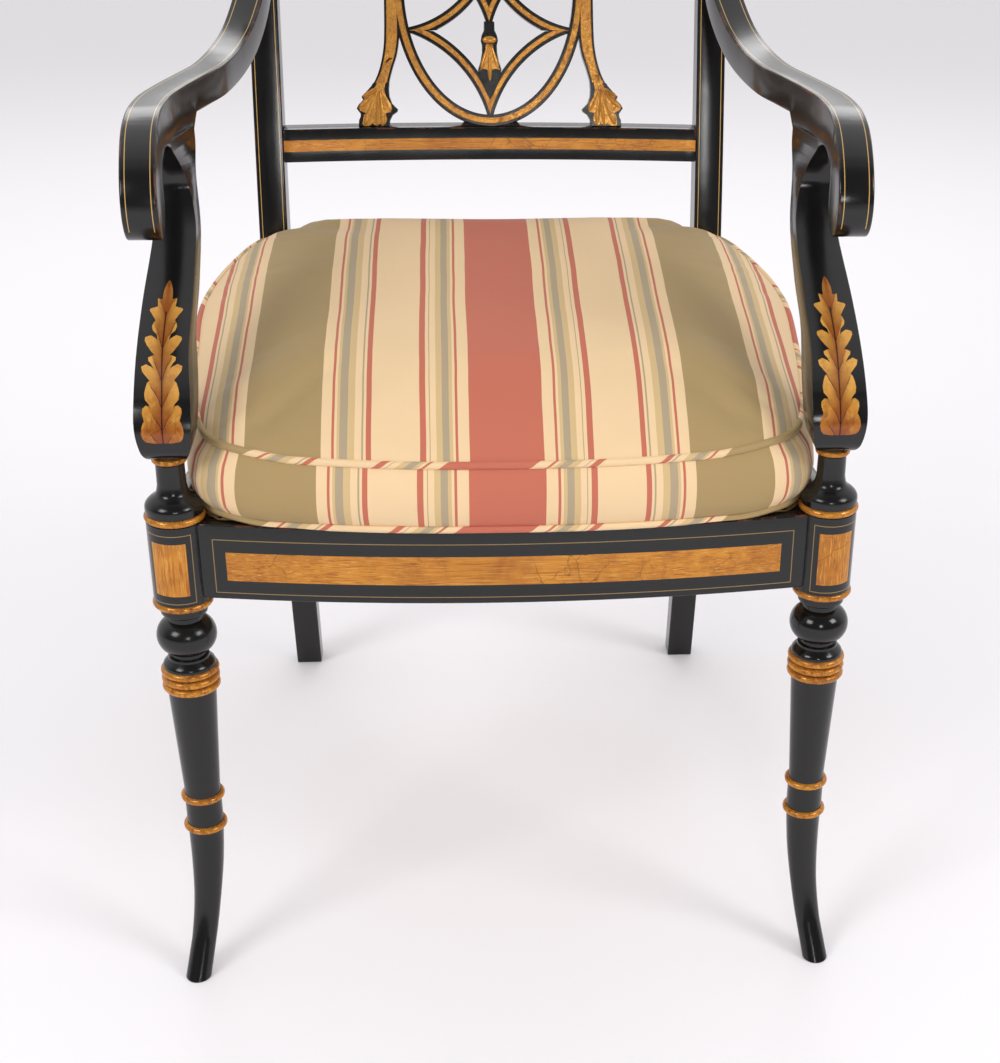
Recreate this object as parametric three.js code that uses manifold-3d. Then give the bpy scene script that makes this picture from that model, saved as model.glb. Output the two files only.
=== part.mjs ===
// An open armchair in the Regency taste: an ebonised frame with gilt bands, swept arms that end in
// down-scrolls, turned front legs with kicked-out toes, sabre back legs that run up as back posts,
// a pierced oval splat with crossed lattice, a caned seat and a loose boxed cushion.
// Millimetres. +X is the right-hand side seen from the front, +Y runs to the back, +Z is up.
import * as THREE from "three";
import { mergeVertices } from "three/addons/utils/BufferGeometryUtils.js";
import Module from "manifold-3d";

const wasm = await Module();
wasm.setup();

// Joints
const SEAM = 0.3; // gap left between two pieces that touch
const OVERRUN = 60; // how far a cutting solid runs past what it cuts
const WELD = 0.001; // corners nearer than this are one

// Front legs, turned about an upright axis and kicked out at the toe
const LEG_X = 257;
const LEG_Y = -225;
const SEAT_DEPTH = 431; // from the front legs' axes back to the posts' waists
const SOLE_RADIUS = 10.8;
const ANKLE_RADIUS = 10.6;
const ANKLE_Z = 30;
const CALF_RADIUS = 14.6;
const CALF_Z = 127;
const KNEE_RADIUS = 19.6;
const TOE_START_Z = 150;
const TOE_OUT = 12.5;
const TOE_FORWARD = 40.5;
const RING_RADIUS = 18.2;
const RING_TUBE = 3;
const LOWER_RING_Z = 133;
const UPPER_RING_Z = 162;
const TRIPLE_RADIUS = 23.4;
const TRIPLE_TUBE = 3.2;
const TRIPLE_PITCH = 7.2;
const TRIPLE_TOP_Z = 284;
const BALL_RADIUS = 24;
const BALL_HALF_HEIGHT = 16.5;
const BALL_Z = 315;
const NECK_RADIUS = 14.3;
const NECK_FILLET = 2;
const BLOCK_RADIUS = 22.8;
const BEAD_RADIUS = 24;
const BEAD_TUBE = 3.1;
const LOWER_BEAD_Z = 346;
const UPPER_BEAD_Z = 420;

// Back posts, each sawn in one piece: a sabre leg below the seat and a raked upright above it
const POST_INNER_X = 197.3;
const POST_WIDTH = 27;
const WAIST_Z = 430;
const LEG_RAKE_SHARE = 0.281;
const LEG_EASE = 160;
const BACK_RAKE_SHARE = 0.25;
const BACK_EASE = 120;
const FOOT_DEPTH = 27;
const WAIST_DEPTH = 36;
const TOP_DEPTH = 24;

// Seat frame
const SEAT_Z = 417;
const RAIL_HEIGHT = 64;
const RAIL_THICKNESS = 24;
const FRONT_RAIL_INSET = 17; // from the leg's axis in to the end of the bow
const FRONT_RAIL_PROUD = 13; // from the leg's axis forward to the end of the bow
const FRONT_RAIL_BOW = 19;
const REAR_RAIL_SETBACK = 8;
const TENON_THICKNESS = 10;
const TENON_LENGTH = 12;
const TENON_SHOULDER = 9;
const CANE_THICKNESS = 3;
const CANE_LEDGE = 11;
const CANE_CLEARANCE = 12; // from the panel's cut corners to the legs and posts
const BLOCK_LENGTH = 86;
const BLOCK_NOSE = 20;
const BLOCK_HEIGHT = 42;
const BLOCK_DROP = 8;
const SCREW_PLACE = 69; // from the corner along each rail
const SCREW_GRIP = 22; // wood under the head
const SCREW_LENGTH = 38;
const SCREW_RADIUS = 2.2;
const SCREW_HEAD_RADIUS = 4.4;
const SCREW_HEAD_HEIGHT = 3;

// Back: lower rail and crest
const BACK_RAIL_TOP = 611.3;
const BACK_RAIL_HEIGHT = 29.6;
const BACK_RAIL_THICKNESS = 22;
const BACK_RAIL_SAG = 11;
const BACK_TENON_THICKNESS = 9;
const BACK_TENON_SHOULDER = 6;
const CREST_BOTTOM = 857;
const CREST_HEIGHT = 44;
const CREST_ARCH = 9;
const CREST_THICKNESS = 25;
const CREST_OVERHANG = 10;
const CREST_SAG = 16;
const CREST_PROUD = 1;
const POST_TENON_HEIGHT = 18;

// Splat, drawn on its own sloping plane, v = 0 at the top of the lower rail
const SPLAT_THICKNESS = 13;
const SPLAT_SETBACK = 3.5;
const SPLAT_HALF_WIDTH = 127;
const TONGUE_LENGTH = 9;
const TONGUE_THICKNESS = 6;
const TONGUE_HALF_WIDTH = 9;
const OVAL_HALF_WIDTH = 91.4;
const OVAL_BAND = 10.4;
const LATTICE_BAND = 8.8;
const HUSK_HALF_WIDTH = 9.6;
const HUSK_RELIEF = 2.5;
const CLASP_REACH = 103;
const CLASP_HALF_HEIGHT = 14;
const PAD_HALF_WIDTH = 28.5;
const PAD_HEIGHT = 5;

// Arms, sawn to a side profile and a plan profile, with a scroll at the front
const ARM_WIDTH = 27;
const ARM_THICKNESS = 25;
const ARM_FRONT_Y = -202;
const ARM_WIDEST_X = 268;
const ARM_CROWN_Z = 707;
const ARM_DIP_Z = 709.5;
const ARM_JOIN_Z = 826;
const ARM_SEAM_Z = 670;
const KNUCKLE_REACH = 100;
const SCROLL_RADIUS = 28;
const SCROLL_Z = 651;
const HOOK_RADIUS = 45;
const HOOK_Y = -113;
const HOOK_Z = 631;
const ARM_SCREW_RADIUS = 2.6;
const ARM_SCREW_DROP = 36; // below the top of the join
const ARM_SCREW_BITE = 18; // how far it enters the arm
const ARM_SCREW_SINK = 5;
const PLUG_THICKNESS = 3.4;

// Arm supports and the turned stumps under them
const SUPPORT_REACH = 23; // from the leg's axis forward to the belly
const SUPPORT_SEAT = 35; // length of the seam under the arm
const SUPPORT_BELLY_WIDTH = 42;
const STUMP_RADIUS = 11.3;
const STUMP_BEAD_RADIUS = 13.8;
const STUMP_BEAD_TUBE = 2.6;
const STUMP_BEAD_Z = 467;
const STUMP_FLARE_RADIUS = 22.4;
const STUMP_FLARE_Z = 430;
const STUMP_SHOULDER_Z = 443;
const DOWEL_RADIUS = 5;
const DOWEL_LENGTH = 26;

// Loose cushion
const CUSHION_LEG_INSET = 9.5; // its widest point, in from the legs' axes
const CUSHION_OVERHANG = 5; // past the front rail
const CUSHION_POST_GAP = 2;
const CUSHION_TONGUE = 16; // how far it runs back between the posts
const PIPING_FRONT_Z = 472;
const PIPING_BACK_Z = 500;
const PIPING_RADIUS = 3;
const PULL_IN = 5;
const CROWN = 27;

const FINISHES = {
  ebonised: { color: 0x17181a, roughness: 0.28, metalness: 0 },
  gilt: { color: 0xb8842f, roughness: 0.4, metalness: 0.2 },
  beech: { color: 0xb48a5c, roughness: 0.7, metalness: 0 },
  cane: { color: 0xc9a66b, roughness: 0.6, metalness: 0 },
  steel: { color: 0x8d8f92, roughness: 0.45, metalness: 0.9 },
  striped_cloth: { color: 0xc9b184, roughness: 0.9, metalness: 0 },
};

const X = new THREE.Vector3(1, 0, 0);
const Y = new THREE.Vector3(0, 1, 0);
const Z = new THREE.Vector3(0, 0, 1);
const at = (x, y) => new THREE.Vector2(x, y);
const blend = (from, to, share) => from + (to - from) * share;
const smooth = (share) => share * share * (3 - 2 * share);
const through = (points, steps) => new THREE.SplineCurve(points).getPoints(steps);

// Closed geometry as a solid that can be joined and cut
function solid(geometry) {
  const bare = geometry.index ? geometry.toNonIndexed() : geometry.clone();
  bare.deleteAttribute("normal");
  bare.deleteAttribute("uv");
  const merged = mergeVertices(bare, WELD);
  const corners = merged.index.array;
  const faces = [];
  for (let i = 0; i < corners.length; i += 3) {
    const [a, b, c] = corners.slice(i, i + 3);
    if (a !== b && b !== c && c !== a) faces.push(a, b, c);
  }
  return manifold(merged.attributes.position.array, new Uint32Array(faces));
}

function manifold(vertProperties, triVerts) {
  return new wasm.Manifold(new wasm.Mesh({ numProp: 3, vertProperties, triVerts }));
}

// The same solid on the other side of the middle plane, and both together
function reflected(body) {
  const mesh = body.getMesh();
  const places = mesh.vertProperties.map((value, i) => (i % 3 === 0 ? -value : value));
  return manifold(places, mesh.triVerts.slice().reverse());
}

const bothSides = (body) => body.add(reflected(body));

function geometryOf(body) {
  const mesh = body.getMesh();
  const geometry = new THREE.BufferGeometry();
  geometry.setAttribute("position", new THREE.BufferAttribute(mesh.vertProperties, 3));
  geometry.setIndex(new THREE.BufferAttribute(mesh.triVerts, 1));
  geometry.computeVertexNormals();
  return geometry;
}

// Ways to lay a drawn outline in space: side (y, z) with depth to +X, front (x, z) with depth to -Y,
// and plan (x, y) with depth to +Z
const SIDE = new THREE.Matrix4().makeBasis(Y, Z, X);
const FRONT = new THREE.Matrix4().makeBasis(X, Z, Y.clone().negate());
const PLAN = new THREE.Matrix4();

function board(outline, from, to, lay) {
  const settings = { depth: to - from, bevelEnabled: false };
  const geometry = new THREE.ExtrudeGeometry(new THREE.Shape(outline), settings);
  return solid(geometry.translate(0, 0, from).applyMatrix4(lay));
}

function oval(middle, halfWidth, halfHeight, steps) {
  const outline = [];
  for (let i = 0; i < steps; i += 1) {
    const angle = (2 * Math.PI * i) / steps;
    outline.push(
      at(middle.x + halfWidth * Math.cos(angle), middle.y + halfHeight * Math.sin(angle)),
    );
  }
  return outline;
}

const rectangle = (low, high) => [low, at(high.x, low.y), high, at(low.x, high.y)];

// Turnings: a profile of radii and heights, spun about the upright axis
const LEG_FACETS = 20;
const SCREW_FACETS = 10;

function turning(profile, facets) {
  return new THREE.LatheGeometry(profile, facets).rotateX(Math.PI / 2);
}

function peg(radius, from, to) {
  const profile = [at(0, from), at(radius, from), at(radius, to), at(0, to)];
  return turning(profile, LEG_FACETS);
}

// Half-round bead on a turning, listed from its lower edge to its upper one
function bead(outer, tube, middle) {
  const steps = 3;
  const points = [];
  for (let i = 0; i <= steps; i += 1) {
    const angle = -Math.PI / 2 + (Math.PI * i) / steps;
    points.push(at(outer - tube + tube * Math.cos(angle), middle + tube * Math.sin(angle)));
  }
  return points;
}

// How far a circular bow has swung back from its middle at x
function swing(x, halfSpan, rise) {
  const radius = (halfSpan ** 2 + rise ** 2) / (2 * rise);
  return radius - Math.sqrt(radius ** 2 - x ** 2);
}

// Plan outline of a rail with one bowed face drawn by a function of x
function bowedPlan(face, reach, thickness) {
  const steps = 20;
  const front = [];
  for (let i = 0; i <= steps; i += 1) {
    const x = blend(-reach, reach, i / steps);
    front.push(at(x, face(x)));
  }
  const back = front.map((p) => at(p.x, p.y + thickness)).reverse();
  return [...front, ...back];
}

// The sabre line of the back posts
const WAIST_Y = LEG_Y + SEAT_DEPTH;
function postFront(z) {
  const rise = z - WAIST_Z;
  const rake = rise < 0 ? LEG_RAKE_SHARE : BACK_RAKE_SHARE;
  const ease = rise < 0 ? LEG_EASE : BACK_EASE;
  return WAIST_Y + rake * (Math.hypot(rise, ease) - ease);
}

function postDepth(z) {
  if (z < WAIST_Z) return blend(FOOT_DEPTH, WAIST_DEPTH, smooth(z / WAIST_Z));
  return blend(WAIST_DEPTH, TOP_DEPTH, smooth((z - WAIST_Z) / (CREST_BOTTOM - WAIST_Z)));
}

const POST_TOP_Z = CREST_BOTTOM - SEAM;
const POST_OUTER_X = POST_INNER_X + POST_WIDTH;
const POST_MIDDLE_X = POST_INNER_X + POST_WIDTH / 2;
const RAIL_BOTTOM = SEAT_Z - RAIL_HEIGHT;
const FRONT_RAIL_REACH = LEG_X - FRONT_RAIL_INSET;
const FRONT_RAIL_END_Y = LEG_Y - FRONT_RAIL_PROUD;

function postEdge(distance) {
  const steps = 18;
  const edge = [];
  for (let i = 0; i <= steps; i += 1) {
    const z = (POST_TOP_Z * i) / steps;
    edge.push(at(postFront(z) + distance(z), z));
  }
  return edge;
}

function postOutline(room) {
  const front = postEdge(() => -room);
  const back = postEdge((z) => postDepth(z) + room);
  return [...front, ...back.reverse()];
}

const postRoom = board(postOutline(SEAM), POST_INNER_X - SEAM, POST_OUTER_X + SEAM, SIDE);

// Everything from the posts' front faces backwards, with room, to trim what butts on them
function behindPosts() {
  const outline = [...postEdge(() => -SEAM), ...postEdge(() => OVERRUN).reverse()];
  return board(outline, POST_INNER_X - OVERRUN, POST_OUTER_X + OVERRUN, SIDE);
}

const legRoom = solid(
  peg(BLOCK_RADIUS + SEAM, RAIL_BOTTOM - OVERRUN, SEAT_Z + OVERRUN).translate(LEG_X, LEG_Y, 0),
);

// A flat tenon between two places in plan; with room, the mortise that takes it
function stub(from, to, thickness, low, high, room) {
  const run = to.clone().sub(from).normalize();
  const side = at(-run.y, run.x).multiplyScalar(thickness / 2 + room);
  const end = to.clone().addScaledVector(run, room);
  const outline = [
    from.clone().sub(side),
    end.clone().sub(side),
    end.clone().add(side),
    from.clone().add(side),
  ];
  return board(outline, low - room, high + room, PLAN);
}

const TENON_LOW = RAIL_BOTTOM + TENON_SHOULDER;
const TENON_HIGH = SEAT_Z - TENON_SHOULDER;
const frontTenon = (room) => {
  const from = at(FRONT_RAIL_REACH - TENON_LENGTH, FRONT_RAIL_END_Y + RAIL_THICKNESS / 2);
  const to = at(LEG_X - BLOCK_RADIUS + TENON_LENGTH, from.y);
  return stub(from, to, TENON_THICKNESS, TENON_LOW, TENON_HIGH, room);
};

// Side rails run straight from the leg's axis to the middle of the post's front face
const sideRun = at(POST_MIDDLE_X, postFront(SEAT_Z)).sub(at(LEG_X, LEG_Y));
const sideWay = sideRun.clone().normalize();
const sideOut = at(sideWay.y, -sideWay.x);
const sidePoint = (distance, out) =>
  at(LEG_X, LEG_Y).addScaledVector(sideWay, distance).addScaledVector(sideOut, out);
const sideTenon = (room) => {
  const middle = sidePoint(sideRun.length() / 2, 0);
  const front = sidePoint(BLOCK_RADIUS - TENON_LENGTH, 0);
  const back = sidePoint(sideRun.length() + TENON_LENGTH, 0);
  return stub(middle, back, TENON_THICKNESS, TENON_LOW, TENON_HIGH, room).add(
    stub(middle, front, TENON_THICKNESS, TENON_LOW, TENON_HIGH, room),
  );
};

const REAR_RAIL_Y = postFront(SEAT_Z) + REAR_RAIL_SETBACK;
const rearTenon = (room) => {
  const y = REAR_RAIL_Y + RAIL_THICKNESS - TENON_THICKNESS;
  const from = at(POST_INNER_X - TENON_LENGTH, y);
  const to = at(POST_INNER_X + TENON_LENGTH, y);
  return stub(from, to, TENON_THICKNESS, TENON_LOW, TENON_HIGH, room);
};

// Front leg
const STUMP_BOTTOM = UPPER_BEAD_Z + BEAD_TUBE + SEAM;
function stumpPeg(room) {
  const low = STUMP_BOTTOM - DOWEL_LENGTH / 2 - room;
  const geometry = peg(DOWEL_RADIUS + room, low, STUMP_BOTTOM + DOWEL_RADIUS);
  return solid(geometry.translate(LEG_X, LEG_Y, 0));
}

function ballProfile() {
  const steps = 8;
  const points = [];
  for (let i = 1; i < steps; i += 1) {
    const angle = -Math.PI / 2 + (Math.PI * i) / steps;
    const radius = BALL_RADIUS * Math.cos(angle) ** (2 / 3);
    points.push(at(Math.max(radius, NECK_RADIUS), BALL_Z + BALL_HALF_HEIGHT * Math.sin(angle)));
  }
  return points;
}

function legProfile() {
  const ballLow = BALL_Z - BALL_HALF_HEIGHT;
  const ballHigh = BALL_Z + BALL_HALF_HEIGHT;
  const tripleBottom = TRIPLE_TOP_Z - 2 * TRIPLE_PITCH;
  const shaftMiddle = blend(UPPER_RING_Z, tripleBottom, 1 / 2);
  return [
    at(0, 0),
    at(SOLE_RADIUS, 0),
    at(ANKLE_RADIUS, ANKLE_Z),
    at(blend(ANKLE_RADIUS, CALF_RADIUS, 1 / 4), blend(ANKLE_Z, CALF_Z, 1 / 3)),
    at(blend(ANKLE_RADIUS, CALF_RADIUS, 2 / 3), blend(ANKLE_Z, CALF_Z, 2 / 3)),
    at(CALF_RADIUS, CALF_Z),
    ...bead(RING_RADIUS, RING_TUBE, LOWER_RING_Z),
    ...bead(RING_RADIUS, RING_TUBE, UPPER_RING_Z),
    at(CALF_RADIUS, UPPER_RING_Z + RING_TUBE + NECK_FILLET),
    at(blend(CALF_RADIUS, KNEE_RADIUS, 1 / 2), shaftMiddle),
    at(KNEE_RADIUS, tripleBottom - TRIPLE_TUBE),
    ...bead(TRIPLE_RADIUS, TRIPLE_TUBE, tripleBottom),
    ...bead(TRIPLE_RADIUS, TRIPLE_TUBE, tripleBottom + TRIPLE_PITCH),
    ...bead(TRIPLE_RADIUS, TRIPLE_TUBE, TRIPLE_TOP_Z),
    at(TRIPLE_RADIUS - TRIPLE_TUBE, TRIPLE_TOP_Z + TRIPLE_TUBE + NECK_FILLET),
    at(NECK_RADIUS + NECK_FILLET, ballLow - 2 * NECK_FILLET),
    at(NECK_RADIUS + NECK_FILLET, ballLow - NECK_FILLET),
    at(NECK_RADIUS, ballLow - NECK_FILLET),
    ...ballProfile(),
    at(NECK_RADIUS, ballHigh + NECK_FILLET),
    at(NECK_RADIUS + 2 * NECK_FILLET, ballHigh + 2 * NECK_FILLET),
    at(NECK_RADIUS + 2 * NECK_FILLET, LOWER_BEAD_Z - BEAD_TUBE),
    ...bead(BEAD_RADIUS, BEAD_TUBE, LOWER_BEAD_Z),
    at(BLOCK_RADIUS, LOWER_BEAD_Z + BEAD_TUBE),
    at(BLOCK_RADIUS, UPPER_BEAD_Z - BEAD_TUBE),
    ...bead(BEAD_RADIUS, BEAD_TUBE, UPPER_BEAD_Z),
    at(0, UPPER_BEAD_Z + BEAD_TUBE),
  ];
}

function frontLeg() {
  const turned = turning(legProfile(), LEG_FACETS);
  const place = turned.getAttribute("position");
  for (let i = 0; i < place.count; i += 1) {
    const kick = Math.max(1 - place.getZ(i) / TOE_START_Z, 0) ** 2.6;
    place.setX(i, place.getX(i) + LEG_X + TOE_OUT * kick);
    place.setY(i, place.getY(i) + LEG_Y - TOE_FORWARD * kick);
  }
  return solid(turned)
    .subtract(frontTenon(SEAM))
    .subtract(sideTenon(SEAM))
    .subtract(stumpPeg(SEAM));
}

function armStump() {
  const top = STUMP_BEAD_Z + STUMP_BEAD_TUBE;
  const profile = [
    at(0, STUMP_BOTTOM),
    at(STUMP_FLARE_RADIUS, STUMP_BOTTOM),
    at(STUMP_FLARE_RADIUS, STUMP_FLARE_Z),
    at(
      blend(STUMP_FLARE_RADIUS, STUMP_RADIUS, 1 / 3),
      blend(STUMP_FLARE_Z, STUMP_SHOULDER_Z, 1 / 3),
    ),
    at(
      blend(STUMP_FLARE_RADIUS, STUMP_RADIUS, 5 / 6),
      blend(STUMP_FLARE_Z, STUMP_SHOULDER_Z, 2 / 3),
    ),
    at(STUMP_RADIUS, STUMP_SHOULDER_Z),
    at(STUMP_RADIUS, STUMP_BEAD_Z - STUMP_BEAD_TUBE),
    ...bead(STUMP_BEAD_RADIUS, STUMP_BEAD_TUBE, STUMP_BEAD_Z),
    at(DOWEL_RADIUS, top),
    at(DOWEL_RADIUS, top + DOWEL_LENGTH / 2),
    at(0, top + DOWEL_LENGTH / 2),
  ];
  const turned = turning(profile, LEG_FACETS).translate(LEG_X, LEG_Y, 0);
  return solid(turned).add(stumpPeg(0));
}

// Arms. Places along an arm are shares of its run from the scroll's front to the post
const ARM_RUN = postFront(ARM_JOIN_Z) - ARM_FRONT_Y;
const ARM_TOP_SHARES = [
  { run: 0.31, climb: -0.012 },
  { run: 0.416, climb: -0.004 },
  { run: 0.52, climb: 0 },
  { run: 0.622, climb: 0.03 },
  { run: 0.705, climb: 0.107 },
  { run: 0.777, climb: 0.236 },
  { run: 0.839, climb: 0.39 },
  { run: 0.901, climb: 0.622 },
  { run: 0.957, climb: 0.828 },
  { run: 1.035, climb: 1.137 },
];
const ARM_DRAW_SHARES = [
  { run: -0.1, draw: 0.09 },
  { run: 0.02, draw: 0.05 },
  { run: 0.13, draw: 0 },
  { run: 0.25, draw: 0.018 },
  { run: 0.334, draw: 0.158 },
  { run: 0.416, draw: 0.35 },
  { run: 0.5, draw: 0.526 },
  { run: 0.622, draw: 0.684 },
  { run: 0.726, draw: 0.825 },
  { run: 0.829, draw: 0.947 },
  { run: 0.932, draw: 1 },
  { run: 1.1, draw: 1 },
];
const armDraw = ARM_WIDEST_X - POST_MIDDLE_X;
const armLine = through(
  ARM_DRAW_SHARES.map((s) => at(ARM_WIDEST_X - armDraw * s.draw, ARM_FRONT_Y + ARM_RUN * s.run)),
  30,
);

function armMiddle(y) {
  const next = armLine.findIndex((p) => p.y >= y);
  const [before, after] = [armLine[next - 1], armLine[next]];
  return blend(before.x, after.x, (y - before.y) / (after.y - before.y));
}

function armPlan() {
  const outer = armLine.map((p) => at(p.x + ARM_WIDTH / 2, p.y));
  const inner = armLine.map((p) => at(p.x - ARM_WIDTH / 2, p.y));
  return [...outer, ...inner.reverse()];
}

// The seam under the arm starts where the hook's arch meets its level
const SEAM_START_Y = HOOK_Y + Math.sqrt(HOOK_RADIUS ** 2 - (ARM_SEAM_Z - HOOK_Z) ** 2);
const HOOK_BACK_Y = HOOK_Y + HOOK_RADIUS;
const SEAM_END_Y = HOOK_BACK_Y + SUPPORT_SEAT;

// The part of a line's parallel, set off below it, that lies behind a given place
function parallelBelow(line, distance, start) {
  return line
    .map((p, i) => {
      const ahead = line[Math.min(i + 1, line.length - 1)];
      const run = ahead.clone().sub(line[Math.max(i - 1, 0)]).normalize();
      return at(p.x + run.y * distance, p.y - run.x * distance);
    })
    .filter((p) => p.x > start);
}

function armSide() {
  const knuckle = [];
  const steps = 10;
  for (let i = 0; i < steps; i += 1) {
    const angle = Math.PI - (Math.PI * i) / (2 * steps);
    const y = ARM_FRONT_Y + KNUCKLE_REACH * (1 + Math.cos(angle));
    knuckle.push(at(y, SCROLL_Z + (ARM_CROWN_Z - SCROLL_Z) * Math.sin(angle)));
  }
  const climb = ARM_JOIN_Z - ARM_DIP_Z;
  const top = ARM_TOP_SHARES.map((s) =>
    at(ARM_FRONT_Y + ARM_RUN * s.run, ARM_DIP_Z + climb * s.climb),
  );
  const topLine = through([at(ARM_FRONT_Y + KNUCKLE_REACH, ARM_CROWN_Z), ...top], 32);
  const under = parallelBelow(topLine, ARM_THICKNESS, SEAM_END_Y + DOWEL_RADIUS);
  return [
    ...knuckle,
    ...topLine,
    ...under.reverse(),
    at(SEAM_END_Y, ARM_SEAM_Z),
    at(SEAM_START_Y, ARM_SEAM_Z),
    at(HOOK_Y, SCROLL_Z),
  ];
}

const ARM_DOWEL_Y = SEAM_END_Y - SUPPORT_SEAT / 2;
function armDowel(room) {
  const half = DOWEL_LENGTH / 2 + room;
  const geometry = peg(DOWEL_RADIUS + room, ARM_SEAM_Z - half, ARM_SEAM_Z + half);
  return solid(geometry.translate(armMiddle(ARM_DOWEL_Y), ARM_DOWEL_Y, 0));
}

// A screw with its head at the origin and its shank down the -Z axis; with room, its hole, which
// runs on past the head
function screw(radius, length, room) {
  const top = room > 0 ? OVERRUN : 0;
  const profile = [
    at(0, -length - room),
    at(radius + room, -length - room),
    at(radius + room, -SCREW_HEAD_HEIGHT - room),
    at(SCREW_HEAD_RADIUS + room, -room),
    at(SCREW_HEAD_RADIUS + room, top),
    at(0, top),
  ];
  if (room === 0) profile.splice(4, 1);
  return turning(profile, SCREW_FACETS).rotateX(-Math.PI / 2);
}

// The screw that draws each arm to its post runs level through the post from behind, under a plug
const ARM_SCREW_Z = ARM_JOIN_Z - ARM_SCREW_DROP;
const ARM_SCREW_HEAD_Y = postFront(ARM_SCREW_Z) + postDepth(ARM_SCREW_Z) - ARM_SCREW_SINK;
function armScrew(room) {
  const length = postDepth(ARM_SCREW_Z) - ARM_SCREW_SINK + ARM_SCREW_BITE;
  const geometry = screw(ARM_SCREW_RADIUS, length, room);
  return solid(geometry.translate(POST_MIDDLE_X, ARM_SCREW_HEAD_Y, ARM_SCREW_Z));
}

function armPlug() {
  const geometry = peg(SCREW_HEAD_RADIUS, SEAM, PLUG_THICKNESS).rotateX(-Math.PI / 2);
  return solid(geometry.translate(POST_MIDDLE_X, ARM_SCREW_HEAD_Y, ARM_SCREW_Z));
}

function arm() {
  const side = board(armSide(), POST_INNER_X - OVERRUN, ARM_WIDEST_X + OVERRUN, SIDE);
  const hook = oval(at(HOOK_Y, HOOK_Z), HOOK_RADIUS, HOOK_RADIUS, 48);
  const scroll = oval(at(ARM_FRONT_Y + SCROLL_RADIUS, SCROLL_Z), SCROLL_RADIUS, SCROLL_RADIUS, 28);
  const low = SCROLL_Z - SCROLL_RADIUS - OVERRUN;
  const plan = board(armPlan(), low, ARM_JOIN_Z + OVERRUN, PLAN);
  return side
    .subtract(board(hook, POST_INNER_X - OVERRUN, ARM_WIDEST_X + OVERRUN, SIDE))
    .add(board(scroll, POST_INNER_X, ARM_WIDEST_X + OVERRUN, SIDE))
    .intersect(plan)
    .subtract(behindPosts())
    .subtract(armDowel(SEAM))
    .subtract(armScrew(SEAM));
}

// Arm support: an S-curve in the side view and a vase in the front view. Rises are shares of its
// height, sweeps of its way from the belly back to the hook's arch, widths of the belly's width
const SUPPORT_BOTTOM = STUMP_BEAD_Z + STUMP_BEAD_TUBE + SEAM;
const SUPPORT_HEIGHT = ARM_SEAM_Z - SEAM - SUPPORT_BOTTOM;
const BELLY_Y = LEG_Y - SUPPORT_REACH;
const SWEEP = HOOK_BACK_Y - BELLY_Y;
const SUPPORT_FRONT_SHARES = [
  { rise: 0, sweep: 0.075 },
  { rise: 0.021, sweep: 0.03 },
  { rise: 0.064, sweep: 0.006 },
  { rise: 0.146, sweep: 0 },
  { rise: 0.251, sweep: 0.072 },
  { rise: 0.371, sweep: 0.267 },
  { rise: 0.502, sweep: 0.517 },
  { rise: 0.591, sweep: 0.683 },
  { rise: 0.661, sweep: 0.811 },
  { rise: 0.728, sweep: 0.917 },
  { rise: 0.819, sweep: 0.99 },
  { rise: 0.92, sweep: 0.967 },
  { rise: 1, sweep: 0.875 },
];
const SUPPORT_BACK_SHARES = [
  { rise: 0, sweep: 0.197 },
  { rise: 0.045, sweep: 0.234 },
  { rise: 0.146, sweep: 0.267 },
  { rise: 0.251, sweep: 0.35 },
  { rise: 0.371, sweep: 0.544 },
  { rise: 0.502, sweep: 0.778 },
  { rise: 0.699, sweep: 1.033 },
  { rise: 0.899, sweep: 1.172 },
  { rise: 1, sweep: 1.194 },
];
const SUPPORT_WIDTH_SHARES = [
  { rise: 0, shift: -0.1, width: 0.58 },
  { rise: 0.043, shift: -0.1, width: 0.86 },
  { rise: 0.146, shift: -0.1, width: 1 },
  { rise: 0.251, shift: -0.1, width: 1 },
  { rise: 0.371, shift: 0.15, width: 0.93 },
  { rise: 0.502, shift: 0.1, width: 0.905 },
  { rise: 0.699, shift: 0, width: 0.786 },
  { rise: 0.899, shift: 0.8, width: 0.667 },
  { rise: 1, shift: 1, width: 0.635 },
];
const supportLevel = (share) => SUPPORT_BOTTOM + SUPPORT_HEIGHT * share;

function supportSide() {
  const place = (s) => at(BELLY_Y + SWEEP * s.sweep, supportLevel(s.rise));
  const front = through(SUPPORT_FRONT_SHARES.map(place), 28);
  const back = through(SUPPORT_BACK_SHARES.map(place), 22);
  return [...front, ...back.reverse()];
}

function supportFront() {
  const shift = armMiddle(HOOK_BACK_Y) - LEG_X;
  const edge = (side) =>
    SUPPORT_WIDTH_SHARES.map((s) =>
      at(LEG_X + shift * s.shift + (side * SUPPORT_BELLY_WIDTH * s.width) / 2, supportLevel(s.rise)),
    );
  return [...through(edge(1), 20), ...through(edge(-1), 20).reverse()];
}

function armSupport() {
  const side = board(supportSide(), LEG_X - OVERRUN, LEG_X + OVERRUN, SIDE);
  const front = board(supportFront(), -SEAM_END_Y - OVERRUN, -BELLY_Y + OVERRUN, FRONT);
  const pegTop = STUMP_BEAD_Z + STUMP_BEAD_TUBE + DOWEL_LENGTH / 2 + SEAM;
  const pegRoom = peg(DOWEL_RADIUS + SEAM, SUPPORT_BOTTOM - OVERRUN, pegTop);
  return side
    .intersect(front)
    .subtract(solid(pegRoom.translate(LEG_X, LEG_Y, 0)))
    .subtract(armDowel(SEAM));
}

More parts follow.
